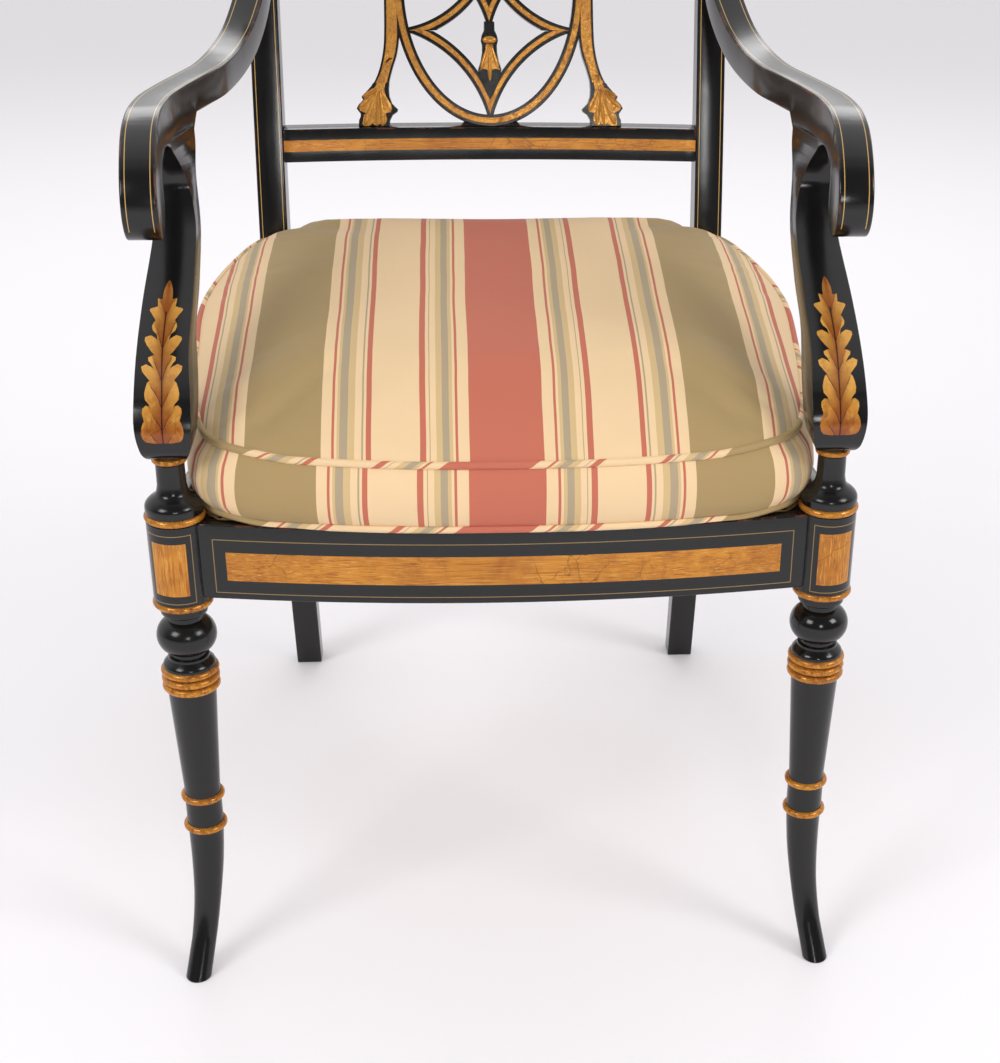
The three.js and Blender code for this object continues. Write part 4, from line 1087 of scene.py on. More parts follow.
SUPPORT_FRONT = [(p.y, p.x) for p in support_line(SUPPORT_FRONT_SHARES, 60)]
SUPPORT_WIDTHS = [tuple(p) for p in through(SUPPORT_WIDTH_SHARES, 60)]
SUPPORT_SHIFT = arm_middle(HOOK_Y + HOOK_RADIUS) - LEG_X


def support_middle(z):
    share = (z - SUPPORT_BOTTOM) / SUPPORT_HEIGHT
    return LEG_X + SUPPORT_SHIFT * level([(p[0], p[1]) for p in SUPPORT_WIDTHS], share)


def support_width(z):
    share = (z - SUPPORT_BOTTOM) / SUPPORT_HEIGHT
    return SUPPORT_WIDTH * level([(p[0], p[2]) for p in SUPPORT_WIDTHS], share)


def arm_support():
    front = support_line(SUPPORT_FRONT_SHARES, 56)
    back = support_line(SUPPORT_BACK_SHARES, 44)
    bm = board([*front, *reversed(back)], side_lay, -0.5, 0.5)
    strips(bm, (0, 0, 1), places(SUPPORT_BOTTOM, ARM_SEAM + SUPPORT_OVERRUN, 0.007))
    for v in bm.verts:
        rise = climb(v.co.z, SUPPORT_JOINING, ARM_SEAM - SUPPORT_JOINING)
        drawn = arm_middle(v.co.y) - arm_middle(HOOK_Y + HOOK_RADIUS)
        v.co.x = support_middle(v.co.z) + v.co.x * support_width(v.co.z) + drawn * rise
    eased(bm, 0.0024, 3, 50)
    return bm


# The gilt leaf on each support
LEAF_LOW = 0.4885
LEAF_HIGH = 0.5800
LEAF_HALF_WIDTH = 0.0158
LEAF_THICKNESS = 0.0006
LEAF_SUNK = 0.0004
MIDRIB_TOP = LEAF_HIGH - 0.016
# Its outline, lobe by lobe: share of the height, share of the half width
LEAF_SHARES = (
    (0, 0.05),
    (0, 0.45),
    (0.012, 0.8),
    (0.04, 0.93),
    (0.085, 1),
    (0.13, 0.97),
    (0.165, 0.9),
    (0.185, 0.83),
    (0.21, 0.88),
    (0.24, 0.93),
    (0.272, 0.91),
    (0.292, 0.76),
    (0.288, 0.62),
    (0.27, 0.54),
    (0.3, 0.6),
    (0.33, 0.78),
    (0.365, 0.82),
    (0.4, 0.77),
    (0.43, 0.69),
    (0.445, 0.58),
    (0.465, 0.72),
    (0.495, 0.92),
    (0.522, 0.97),
    (0.535, 0.75),
    (0.52, 0.5),
    (0.508, 0.38),
    (0.535, 0.5),
    (0.555, 0.64),
    (0.572, 0.66),
    (0.583, 0.45),
    (0.585, 0.36),
    (0.61, 0.56),
    (0.64, 0.75),
    (0.668, 0.88),
    (0.685, 0.86),
    (0.694, 0.6),
    (0.678, 0.36),
    (0.668, 0.27),
    (0.7, 0.34),
    (0.72, 0.53),
    (0.742, 0.6),
    (0.765, 0.54),
    (0.776, 0.46),
    (0.8, 0.6),
    (0.832, 0.8),
    (0.842, 0.76),
    (0.848, 0.55),
    (0.853, 0.42),
    (0.875, 0.45),
    (0.898, 0.47),
    (0.893, 0.24),
    (0.92, 0.23),
    (0.95, 0.2),
    (0.975, 0.13),
    (0.99, 0.08),
    (1, 0.01),
)


def support_leaf():
    """A flat lobed leaf, cut into strips and laid on the support's front."""
    half = [
        (LEAF_HALF_WIDTH * reach, blend(LEAF_LOW, LEAF_HIGH, rise)) for rise, reach in LEAF_SHARES
    ]
    bm = board(whole(half), front_lay, 0, LEAF_THICKNESS)
    across = bm.verts.layers.float["across"]
    strips(bm, (0, 0, 1), places(LEAF_LOW, LEAF_HIGH, 0.003))
    strips(bm, (1, 0, 0), [-0.008, -0.004, 0, 0.004, 0.008])
    for v in bm.verts:
        v[across] = v.co.x
        v.co.x += support_middle(v.co.z)
        v.co.y += level(SUPPORT_FRONT, v.co.z) - LEAF_SUNK
    return bm


def leaf_paint(name):
    """Painted gilding: lobes shaded from gold to red-brown, with a dark midrib and veins, paler from
    the belly up, partly as a painted highlight.
    """
    w = Wiring(name)
    settings = finishes()
    shade = tuple(settings.gilt_shade)
    z = w.axes(w.place)[2]
    out = w.math("ABSOLUTE", w.attribute("across"))
    wave = w.times(w.noise(w.place, 90.0, 2.0), 0.005)
    bend = w.times(w.times(out, out), 46.0)
    raised = w.math("ADD", w.math("ADD", z, wave), bend)
    slant = w.math("SUBTRACT", raised, w.times(out, 2.0))
    turn = w.math("FRACT", w.times(slant, 64.0))
    vein = w.math("LESS_THAN", turn, 0.055)
    reach = w.times(w.rise(w.noise(w.place, 60.0, 1.0), 0.3, 0.7), 0.011)
    inner = w.math("LESS_THAN", out, reach)
    ribs = w.either(w.both(vein, inner), w.math("LESS_THAN", out, 0.00055))
    ribs = w.both(ribs, w.math("LESS_THAN", z, MIDRIB_TOP))
    near = w.math("SUBTRACT", 1.0, w.rise(out, 0.0006, 0.008))
    lobe = w.math("SUBTRACT", 1.0, w.rise(turn, 0.0, 0.6))
    fold = w.times(lobe, w.math("SUBTRACT", 1.0, w.rise(out, 0.004, 0.013)))
    base = w.math("SUBTRACT", 1.0, w.rise(z, 0.488, 0.509))
    mottled = w.rise(w.noise(w.place, 150.0, 4.0, 0.7), 0.5, 0.66)
    # Paler gold from the belly up: partly the upper lobes' own paler gold, partly a painted highlight
    # where the belly catches the light
    pale = w.times(w.rise(z, 0.5, 0.525), 0.75)
    colour = w.mix(pale, gold(w, LEAF_GRAIN), tuple(settings.gilt_pale_and_highlight))
    colour = w.tint(colour, mottled, 0.3, shade)
    colour = w.tint(colour, fold, 0.85, shade)
    colour = w.tint(colour, near, 0.85, shade)
    colour = w.tint(colour, base, 0.6, shade)
    colour = w.tint(colour, ribs, 0.85, tuple(settings.lacquer))
    w.set(Base_Color=colour, Roughness=0.2, Metallic=0.2)
    w.set(Normal=w.bump(w.math("SUBTRACT", 1.0, ribs), 0.3, 0.0004))
    return w.material


# Posts and rails
def back_post():
    steps = 70
    heights = [POST_TOP * i / steps for i in range(steps + 1)]
    front = [(post_front(z), z) for z in heights]
    back = [(post_front(z) + post_depth(z), z) for z in reversed(heights)]
    bm = board([*front, *back], side_lay, POST_INNER, POST_OUTER)
    eased(bm, forms().edge)
    return bm


SIDE_START = Vector((LEG_X, LEG_Y))
SIDE_END = Vector((POST_MIDDLE, post_front(SEAT_TOP)))
SIDE_WAY = (SIDE_END - SIDE_START).normalized()
SIDE_LENGTH = (SIDE_END - SIDE_START).length


def rail_section(outer, inner, step):
    """A rail's section, as (across, height), with the rebate for the cane on its inner edge."""
    ledge = inner - step * REBATE_WIDTH
    return [
        (outer, RAIL_BOTTOM),
        (outer, SEAT_TOP),
        (ledge, SEAT_TOP),
        (ledge, SEAT_TOP - REBATE_DEPTH),
        (inner, SEAT_TOP - REBATE_DEPTH),
        (inner, RAIL_BOTTOM),
    ]


def front_rail_face(x):
    return FRONT_RAIL_END - FRONT_RAIL_BOW + swing(x, FRONT_RAIL_REACH, FRONT_RAIL_BOW)


def front_rail():
    bm = board(rail_section(0, RAIL_THICKNESS, 1), side_lay, -FRONT_RAIL_REACH, FRONT_RAIL_REACH)
    eased(bm, forms().edge)
    strips(bm, (1, 0, 0), places(-FRONT_RAIL_REACH, FRONT_RAIL_REACH, 0.008))
    for v in bm.verts:
        v.co.y += front_rail_face(v.co.x)
    return bm


def side_rail():
    section = rail_section(-RAIL_THICKNESS / 2, RAIL_THICKNESS / 2, 1)
    bm = board(section, side_lay, BLOCK_RADIUS - BLOCK_LET_IN, SIDE_LENGTH + POST_LET_IN)
    eased(bm, forms().edge)
    for v in bm.verts:
        along = SIDE_START + SIDE_WAY * v.co.x
        inward = Vector((-SIDE_WAY.y, SIDE_WAY.x)) * v.co.y
        v.co.x, v.co.y = along + inward
    bmesh.ops.recalc_face_normals(bm, faces=bm.faces)
    return bm


REAR_RAIL_Y = post_front(SEAT_TOP) + REAR_RAIL_BACK


def rear_rail():
    section = rail_section(RAIL_THICKNESS, 0, -1)
    bm = board(section, side_lay, -POST_INNER, POST_INNER)
    eased(bm, forms().edge)
    bmesh.ops.translate(bm, verts=bm.verts, vec=(0, REAR_RAIL_Y, 0))
    return bm


BACK_SLOPE = (post_front(CREST_BOTTOM) - post_front(BACK_RAIL_TOP)) / (CREST_BOTTOM - BACK_RAIL_TOP)


def back_rail_face(x):
    return post_front(BACK_RAIL_TOP) + BACK_RAIL_SAG - swing(x, POST_INNER, BACK_RAIL_SAG)


def crest_face(x):
    drawn_back = CREST_SAG - CREST_PROUD - swing(x, POST_MIDDLE, CREST_SAG)
    return post_front(CREST_BOTTOM) + drawn_back


def bowed(outline, face, thickness, foot, reach):
    """A board drawn from the front, bowed in plan and leant back with the posts."""
    bm = board(outline, front_lay, 0, thickness)
    eased(bm, forms().edge)
    strips(bm, (1, 0, 0), places(-reach, reach, 0.01))
    for v in bm.verts:
        v.co.y += face(v.co.x) + BACK_SLOPE * (v.co.z - foot)
    return bm


def lower_back_rail():
    outline = whole([(POST_INNER, BACK_RAIL_BOTTOM), (POST_INNER, BACK_RAIL_TOP)])
    return bowed(outline, back_rail_face, BACK_RAIL_THICKNESS, BACK_RAIL_TOP, POST_INNER)


def crest_rail():
    radius = CREST_HEIGHT / 2
    reach = POST_OUTER + CREST_OVERHANG
    cheek = reach - radius
    half = [tuple(p) for p in arc((cheek, CREST_BOTTOM + radius), radius, -90, 90, 20)]
    for i in range(1, 25):
        share = i / 24
        rise = CREST_ARCH * (1 - (1 - share) ** 2)
        half.append((cheek * (1 - share), CREST_BOTTOM + CREST_HEIGHT + rise))
    return bowed(whole(half), crest_face, CREST_THICKNESS, CREST_BOTTOM, reach)


# Splat, drawn flat with its front at height 0, and then leant back
SPLAT_Y = back_rail_face(0) + SPLAT_SETBACK
SPLAT_LEAN = crest_face(0) + SPLAT_SETBACK - SPLAT_Y
SPLAT_HEIGHT = math.hypot(CREST_BOTTOM - BACK_RAIL_TOP, SPLAT_LEAN)
SPLAT_MIDDLE = SPLAT_HEIGHT / 2


def lean(bm):
    up = Vector((0, SPLAT_LEAN, CREST_BOTTOM - BACK_RAIL_TOP)).normalized()
    out = Vector((1, 0, 0)).cross(up)
    turn = Matrix((Vector((1, 0, 0)), up, out)).transposed().to_4x4()
    turn.translation = (0, SPLAT_Y, BACK_RAIL_TOP)
    bmesh.ops.transform(bm, matrix=turn, verts=bm.verts)


def gild_raised(bm, lift):
    """Gives the second finish to the faces that stand up from a band's front."""
    for face in bm.faces:
        if face.calc_center_median().z > lift + forms().relief * 0.4:
            face.material_index = 1


def band_section(band, gilt, lift):
    """Half-widths and depths across a band, from its back round the raised gilding to its back."""
    relief = forms().relief
    ease = 0.0007
    return [
        (-band / 2, -SPLAT_THICKNESS),
        (-band / 2, lift - ease),
        (-band / 2 + ease, lift),
        (-gilt / 2, lift),
        (-gilt / 2 + relief, lift + relief),
        (gilt / 2 - relief, lift + relief),
        (gilt / 2, lift),
        (band / 2 - ease, lift),
        (band / 2, lift - ease),
        (band / 2, -SPLAT_THICKNESS),
    ]


def splat_oval():
    """The oval ring: one oval, extruded from each corner of the band's section to the next."""
    bm = empty_piece()
    verts = bmesh.ops.create_circle(bm, segments=144, radius=1)["verts"]
    edges = bm.edges[:]
    was = Vector((1, 1))
    section = band_section(OVAL_BAND, OVAL_GILT, OVAL_LIFT)
    for offset, depth in [*section, section[0]]:
        inset = OVAL_BAND / 2 - offset
        size = Vector((OVAL_HALF_WIDTH - inset, SPLAT_MIDDLE + OVAL_OVERLAP - inset))
        if was.x < 1:
            verts, edges = drawn_line(bm, edges)
        bmesh.ops.scale(bm, vec=(size.x / was.x, size.y / was.y, 1), verts=verts)
        for v in verts:
            v.co.z = depth
        was = size
    bmesh.ops.remove_doubles(bm, verts=bm.verts, dist=MERGED)
    bmesh.ops.translate(bm, vec=(0, SPLAT_MIDDLE, 0), verts=bm.verts)
    bmesh.ops.recalc_face_normals(bm, faces=bm.faces)
    gild_raised(bm, OVAL_LIFT)
    lean(bm)
    return bm


# A lozenge's two arcs, in shares of half the splat's height: centre across, centre down and radius
WIDE_ARC = (0.885, 1.174, 0.9407)
TIGHT_ARC = (0.751, -0.4625, 0.8)
# Where the arcs are mitred at the side
MITRE_ACROSS = 0.5265
MITRE_DROP = 0.304


def lozenge_bar(shares, way, lift, keep_low):
    """One curved bar of a lozenge on the right, mitred at the middle and at the side."""
    across, drop, bend = (SPLAT_MIDDLE * s for s in shares)
    centre = Vector((across, SPLAT_MIDDLE - way * drop, 0))
    bm = empty_piece()
    section = band_section(LATTICE_BAND, LATTICE_GILT, lift)
    line = [bm.verts.new((centre.x - bend + offset, centre.y, depth)) for offset, depth in section]
    edges = [bm.edges.new(pair) for pair in zip(line, line[1:] + line[:1])]
    turn = math.radians(80)
    towards = -way if shares is WIDE_ARC else way
    bmesh.ops.spin(
        bm,
        geom=line + edges,
        cent=centre,
        axis=(0, 0, 1),
        angle=turn * towards,
        steps=32,
    )
    corner = Vector((SPLAT_MIDDLE * MITRE_ACROSS, SPLAT_MIDDLE - way * SPLAT_MIDDLE * MITRE_DROP, 0))
    for point, normal in (
        (Vector((0, 0, 0)), Vector((-1, 0, 0))),
        (corner, Vector((-0.05, way if keep_low else -way, 0)).normalized()),
    ):
        bmesh.ops.bisect_plane(
            bm,
            geom=everything(bm),
            plane_co=point,
            plane_no=normal,
            clear_outer=True,
        )
    return bm


def splat_lozenge(way, lift):
    bars = empty_piece()
    for shares, keep_low in ((WIDE_ARC, True), (TIGHT_ARC, False)):
        join(bars, lozenge_bar(shares, way, lift, keep_low))
    mirrored(bars)
    gild_raised(bars, lift)
    lean(bars)
    return bars


# Outer and inner edges of a strap: share of half the splat's height, share of its half width
STRAP_OUTER_SHARES = (
    (-0.05, 0.97),
    (0.06, 1),
    (0.16, 0.985),
    (0.3, 0.882),
    (0.41, 0.829),
    (0.55, 0.795),
    (0.7, 0.783),
    (1, 0.777),
)
STRAP_INNER_SHARES = (
    (-0.05, 0.77),
    (0.05, 0.71),
    (0.137, 0.687),
    (0.22, 0.73),
    (0.3, 0.758),
    (0.41, 0.732),
    (0.54, 0.69),
    (0.71, 0.67),
    (1, 0.67),
)
# The straps start inside the carved feet, at this height
STRAP_FOOT = 0.0365
STRAP_LIFT = 0.0003
STRAP_BORDER = 0.0019


def flat_shape(outline, way, lift, border):
    """A flat shape on the right whose front is inset and raised for gilding."""
    turned_up = [(u, SPLAT_MIDDLE + way * (v - SPLAT_MIDDLE)) for u, v in outline]
    bm = board(turned_up, plan_lay, -SPLAT_THICKNESS, lift)
    front = max(bm.faces, key=lambda f: f.calc_center_median().z)
    bmesh.ops.inset_region(bm, faces=[front], thickness=border, use_even_offset=True)
    raised = bmesh.ops.inset_region(
        bm, faces=[front], thickness=forms().relief, depth=forms().relief, use_even_offset=True
    )
    for face in [front, *raised["faces"]]:
        face.material_index = 1
    return bm


def splat_strap(way):
    outer, inner = (
        through([(SPLAT_HALF_WIDTH * across, SPLAT_MIDDLE * up) for up, across in shares], 40)
        for shares in (STRAP_OUTER_SHARES, STRAP_INNER_SHARES)
    )
    outline = [tuple(p) for p in [*outer, *reversed(inner)] if p.y > STRAP_FOOT]
    bm = flat_shape(outline, way, STRAP_LIFT, STRAP_BORDER)
    mirrored(bm)
    lean(bm)
    return bm


# Carved leaves of the splat, as (across, up) in the splat's own plane
FOOT_OUTLINE = (
    (0.0960, 0.0400),
    (0.0966, 0.0345),
    (0.0963, 0.0282),
    (0.0940, 0.0213),
    (0.0884, 0.0159),
    (0.0890, 0.0136),
    (0.0936, 0.0105),
    (0.0962, 0.0058),
    (0.0972, 0),
    (0.1262, 0),
    (0.1258, 0.0058),
    (0.1242, 0.0092),
    (0.1240, 0.0115),
    (0.1278, 0.0166),
    (0.1254, 0.0205),
    (0.1214, 0.0244),
    (0.1228, 0.0275),
    (0.1180, 0.0321),
    (0.1130, 0.0375),
    (0.1115, 0.0400),
)
FOOT_GILT = (
    (0.0995, 0.0405),
    (0.1009, 0.0336),
    (0.0995, 0.0275),
    (0.0950, 0.0205),
    (0.0940, 0.0159),
    (0.0952, 0.0130),
    (0.0984, 0.0126),
    (0.1001, 0.0120),
    (0.0988, 0.0060),
    (0.1006, 0.0022),
    (0.1033, 0.0004),
    (0.1060, 0.0026),
    (0.1093, 0.0002),
    (0.1128, 0.0026),
    (0.1165, 0.0004),
    (0.1212, 0.0002),
    (0.1229, 0.0025),
    (0.1219, 0.0060),
    (0.1210, 0.0104),
    (0.1190, 0.0122),
    (0.1243, 0.0143),
    (0.1259, 0.0174),
    (0.1218, 0.0213),
    (0.1202, 0.0236),
    (0.1188, 0.0251),
    (0.1218, 0.0275),
    (0.1178, 0.0305),
    (0.1146, 0.0336),
    (0.1097, 0.0359),
    (0.1075, 0.0405),
)
FOOT_PETALS = (
    ((0.1035, 0.0330), (0.0952, 0.0140), 0.0058),
    ((0.1050, 0.0330), (0.1026, 0.0008), 0.0052),
    ((0.1060, 0.0330), (0.1093, 0.0006), 0.0040),
    ((0.1068, 0.0330), (0.1205, 0.0010), 0.0062),
    ((0.1072, 0.0340), (0.1252, 0.0170), 0.0054),
    ((0.1078, 0.0352), (0.1214, 0.0276), 0.0040),
)
HUSK_OUTLINE = (
    (0, 0.0285),
    (0.0026, 0.0287),
    (0.0070, 0.0385),
    (0.0112, 0.0520),
    (0.0088, 0.0599),
    (0.0072, 0.0679),
    (0.0070, 0.0742),
    (0.0082, 0.0787),
    (0.0075, 0.0832),
    (0.0052, 0.0880),
    (0.0050, 0.0960),
)
HUSK_GILT = (
    (0, 0.0470),
    (0.0025, 0.0520),
    (0.0058, 0.0530),
    (0.0099, 0.0515),
    (0.0060, 0.0599),
    (0.0043, 0.0679),
    (0.0030, 0.0755),
)
HUSK_PETALS = (
    ((-0.0014, 0.0755), (-0.0082, 0.0527), 0.0042),
    ((0.0014, 0.0755), (0.0082, 0.0527), 0.0042),
    ((0, 0.0752), (0, 0.0416), 0.0040),
)
CLASP_OUTLINE = (
    (0.0860, -0.0135),
    (0.0935, -0.0125),
    (0.0975, -0.0060),
    (0.1040, -0.0035),
    (0.1010, 0),
    (0.1040, 0.0035),
    (0.0975, 0.0060),
    (0.0935, 0.0125),
    (0.0860, 0.0135),
)
# The knot between two husks: its height, and its half sizes
KNOT_HEIGHT = 0.0793
KNOT_SIZE = (0.0068, 0.0036, 0.0028)
# A petal's share of its half width at shares of its length
PETAL_SHARES = ((0, 0.25), (0.2, 0.42), (0.45, 0.75), (0.7, 1), (0.86, 0.84), (0.96, 0.46), (1, 0))
PETAL_RELIEF = 0.0015
CARVED_GROUND = 0.0009


def petal(bm, root, tip, width, low):
    """A teardrop from its root to its tip: one edge along its rim, extruded to its spine and over."""
    start = Vector((*root, low))
    along = Vector((*tip, low)) - start
    across = Vector((-along.y, along.x, 0)).normalized() * width / 2
    rim = [start + along * run - across * reach for run, reach in PETAL_SHARES]
    verts = [bm.verts.new(place) for place in rim]
    edges = [bm.edges.new(pair) for pair in zip(verts, verts[1:])]
    for side, crown in ((-0.45, 0.8), (0, 1), (0.45, 0.8), (1, 0)):
        verts, edges = drawn_line(bm, edges)
        for v in verts:
            run = (v.co - start).dot(along) / along.length_squared
            reach = level(PETAL_SHARES, run)
            v.co = start + along * run + across * reach * side
            v.co.z = low + PETAL_RELIEF * crown * math.sqrt(reach)
    return bm


def splat_carving(outline, gilt, petals, way, both_sides):
    """A dark ground, a thin gilt leaf on it and crowned petals on that."""
    if both_sides:
        outline, gilt = whole(outline), whole(gilt)
    bm = board(outline, plan_lay, -SPLAT_THICKNESS, CARVED_GROUND)
    eased(bm, 0.0004, *FINE_EASE)
    leaf = board(gilt, plan_lay, CARVED_GROUND - 0.0005, CARVED_GROUND + 0.0006)
    eased(leaf, 0.0003, *FINE_EASE)
    for root, tip, width in petals:
        petal(leaf, root, tip, width, CARVED_GROUND + 0.0005)
    bmesh.ops.remove_doubles(leaf, verts=leaf.verts, dist=MERGED)
    for face in leaf.faces:
        face.material_index = 1
    join(bm, leaf)
    for v in bm.verts:
        v.co.y = SPLAT_MIDDLE + way * (v.co.y - SPLAT_MIDDLE)
    bmesh.ops.recalc_face_normals(bm, faces=bm.faces)
    for face in bm.faces:
        if face.material_index and face.calc_center_median().z > CARVED_GROUND and face.normal.z < -0.2:
            face.normal_flip()
    return bm


def join(bm, other):
    """Moves another mesh into this one."""
    scratch = bpy.data.meshes.new("joined")
    other.to_mesh(scratch)
    other.free()
    bm.from_mesh(scratch)
    bpy.data.meshes.remove(scratch)


def splat_foot(way):
    bm = splat_carving(FOOT_OUTLINE, FOOT_GILT, FOOT_PETALS, way, False)
    mirrored(bm)
    lean(bm)
    return bm


def splat_husk(way):
    bm = splat_carving(HUSK_OUTLINE, HUSK_GILT, HUSK_PETALS, way, True)
    knot = bmesh.ops.create_uvsphere(bm, u_segments=28, v_segments=14, radius=1)
    middle = SPLAT_MIDDLE + way * (KNOT_HEIGHT - SPLAT_MIDDLE)
    bmesh.ops.scale(bm, vec=KNOT_SIZE, verts=knot["verts"])
    bmesh.ops.translate(bm, vec=(0, middle, CARVED_GROUND), verts=knot["verts"])
    for v in knot["verts"]:
        for face in v.link_faces:
            face.material_index = 1
    lean(bm)
    return bm


def splat_clasp():
    placed = [(u, SPLAT_MIDDLE + v) for u, v in CLASP_OUTLINE]
    bm = board(placed, plan_lay, -SPLAT_THICKNESS, 0.0007)
    eased(bm, 0.0004, *FINE_EASE)
    mirrored(bm)
    lean(bm)
    return bm


PAD_HALF_WIDTH = 0.0285
PAD_HEIGHT = 0.005


def splat_pad(way):
    outline = []
    for along, up in ((-1, 0), (1, 0), (1, 0.3), (0.88, 1), (-0.88, 1), (-1, 0.3)):
        outline.append((PAD_HALF_WIDTH * along, SPLAT_MIDDLE - way * (SPLAT_MIDDLE - PAD_HEIGHT * up)))
    bm = board(outline, plan_lay, -SPLAT_THICKNESS, -0.0004)
    eased(bm, 0.0006, *FINE_EASE)
    lean(bm)
    return bm


# Cane seat
CANE_LEDGE = 0.011
CANE_CLEARANCE = 0.012
CANE_PITCH = 0.0127
CANE_STRAND = 0.0021
CANE_SKIN = 0.0004
CANE_BINDING = 0.006
# Half the distance between a pair's strands
CANE_PAIR = 0.0013
# Depth of the diagonals under the rails' top, and from there the drops to the other strands' levels
CANE_DEPTH = 0.0011
CANE_DROPS = (0.0016, 0.0011, 0.0006)


def cane_outline():
    leg_clear = BLOCK_RADIUS + CANE_CLEARANCE
    corner = LEG_X - leg_clear
    side_in = CANE_LEDGE - RAIL_THICKNESS / 2

    def side_x(y):
        return blend(SIDE_START.x, SIDE_END.x, (y - LEG_Y) / (SIDE_END.y - LEG_Y)) + side_in

    half = []
    for i in range(9):
        x = corner * i / 8
        half.append((x, front_rail_face(x) + RAIL_THICKNESS - CANE_LEDGE))
    post_clear = WAIST_Y - CANE_CLEARANCE
    half += [
        (side_x(LEG_Y + leg_clear), LEG_Y + leg_clear),
        (side_x(post_clear), post_clear),
        (POST_INNER - CANE_CLEARANCE, post_clear),
        (POST_INNER - CANE_CLEARANCE, REAR_RAIL_Y + CANE_LEDGE),
    ]
    return whole(half)


def crossings(outline, start, way):
    """How far along a line it first enters and last leaves the outline."""
    hits = []
    for a, b in zip(outline, outline[1:] + outline[:1]):
        edge = Vector(b) - Vector(a)
        turn = way.x * edge.y - way.y * edge.x
        if abs(turn) < 1e-9:
            continue
        to_edge = Vector(a) - start
        share = (to_edge.x * way.y - to_edge.y * way.x) / turn
        if 0 <= share <= 1:
            hits.append((to_edge.x * edge.y - to_edge.y * edge.x) / turn)
    return (min(hits), max(hits)) if len(hits) > 1 else None


def strand(bm, start, way, outline, z):
    """One straight strand of cane across the seat."""
    reach = crossings(outline, start, way)
    if reach is None or reach[1] - reach[0] < 2 * CANE_PITCH:
        return
    middle = start + way * (reach[0] + reach[1]) / 2
    made = bmesh.ops.create_cube(bm, size=1)["verts"]
    bmesh.ops.scale(bm, vec=(reach[1] - reach[0], CANE_STRAND, CANE_SKIN), verts=made)
    turn = Matrix.Rotation(math.atan2(way.y, way.x), 3, "Z")
    bmesh.ops.rotate(bm, cent=(0, 0, 0), matrix=turn, verts=made)
    bmesh.ops.translate(bm, vec=(middle.x, middle.y, z), verts=made)


def cane_strands():
    """Pairs of strands both ways, one of each four woven over and under, and two sets of diagonals."""
    outline = cane_outline()
    top = SEAT_TOP - CANE_DEPTH
    lower, middle, upper = (top - drop for drop in CANE_DROPS)
    bm = bmesh.new()
    rows = round(0.25 / CANE_PITCH)
    for i in range(-rows, rows + 1):
        place = i * CANE_PITCH
        for step, z in ((-CANE_PAIR, lower), (CANE_PAIR, upper)):
            strand(bm, Vector((place + step, 0)), Vector((0, 1)), outline, z)
        strand(bm, Vector((0, place - CANE_PAIR)), Vector((1, 0)), outline, middle)
    woven = bmesh.new()
    for i in range(-rows, rows + 1):
        place = i * CANE_PITCH + CANE_PAIR
        strand(woven, Vector((0, place)), Vector((1, 0)), outline, middle)
    turns = (-2 * CANE_PAIR, 0, 2 * CANE_PAIR)
    cuts = [i * CANE_PITCH + turn for i in range(-rows, rows + 1) for turn in turns]
    strips(woven, (1, 0, 0), cuts)
    for v in woven.verts:
        phase = (v.co.x / CANE_PITCH - round(v.co.x / CANE_PITCH)) * CANE_PITCH
        if abs(phase) > 0.001:
            v.co.z += math.copysign(0.0008, -phase)
    for i in range(-2 * rows, 2 * rows + 1):
        for tilt in (-1, 1):
            way = Vector((1, tilt)).normalized()
            place = Vector((0, (i + 0.5) * CANE_PITCH))
            strand(woven, place, way, outline, top - 0.0001 + 0.0004 * tilt)
    join(bm, woven)
    for v in bm.verts:
        v.co.z = min(max(v.co.z, SEAT_TOP - 0.0028), SEAT_TOP - 0.0002)
    return bm


def cane_binding():
    """The flat strip that covers the ends of the strands."""
    bm = empty_piece()
    low = SEAT_TOP - 0.0029
    corners = [bm.verts.new((x, y, low)) for x, y in cane_outline()]
    face = bm.faces.new(corners)
    bmesh.ops.inset_region(
        bm, faces=[face], thickness=CANE_BINDING, use_boundary=True, use_even_offset=True
    )
    bmesh.ops.delete(bm, geom=[face], context="FACES_ONLY")
    raised = drawn_side(bm, bm.faces[:])
    bmesh.ops.translate(bm, verts=raised, vec=(0, 0, 0.0026))
    bmesh.ops.recalc_face_normals(bm, faces=bm.faces)
    eased(bm, 0.0005, *FINE_EASE)
    return bm


def cane_paint(name):
    w = Wiring(name)
    light = tuple(finishes().cane)
    dark = tuple(0.45 * c for c in light)
    patches = w.noise(w.place, 30.0, 4.0)
    fibre = w.noise(w.stretch(w.place, (60.0, 900.0, 900.0)), 1.0, 3.0)
    colour = w.tint(light, w.rise(patches, 0.35, 0.75), 0.5, dark)
    colour = w.tint(colour, w.rise(fibre, 0.4, 0.8), 0.3, dark)
    w.set(Base_Color=colour, Roughness=w.math("ADD", 0.36, w.times(patches, 0.2)))
    w.set(Normal=w.bump(fibre, 0.2, 0.0003))
    return w.material


# Cushion
# The upper seam's right half in plan, from the front to the posts
SEAM_PLAN = (
    (0, -0.2575),
    (0.045, -0.2570),
    (0.090, -0.2545),
    (0.130, -0.2500),
    (0.165, -0.2445),
    (0.193, -0.2380),
    (0.214, -0.2285),
    (0.2275, -0.2150),
    (0.2355, -0.1960),
    (0.2405, -0.1750),
    (0.2445, -0.1520),
    (0.2480, -0.1270),
    (0.2510, -0.1000),
    (0.2535, -0.0720),
    (0.2555, -0.0440),
    (0.2575, -0.0160),
    (0.2590, 0.0120),
    (0.2590, 0.0400),
    (0.2565, 0.0680),
    (0.2520, 0.0960),
    (0.2455, 0.1230),
    (0.2375, 0.1500),
    (0.2290, 0.1740),
    (0.2190, 0.1920),
    (0.2060, 0.1985),
)
SEAM_GAP = 0.0058
# Rounding of the seam beside the posts and at the rear corners
NOTCH_RADIUS = 0.007
REAR_RADIUS = 0.011
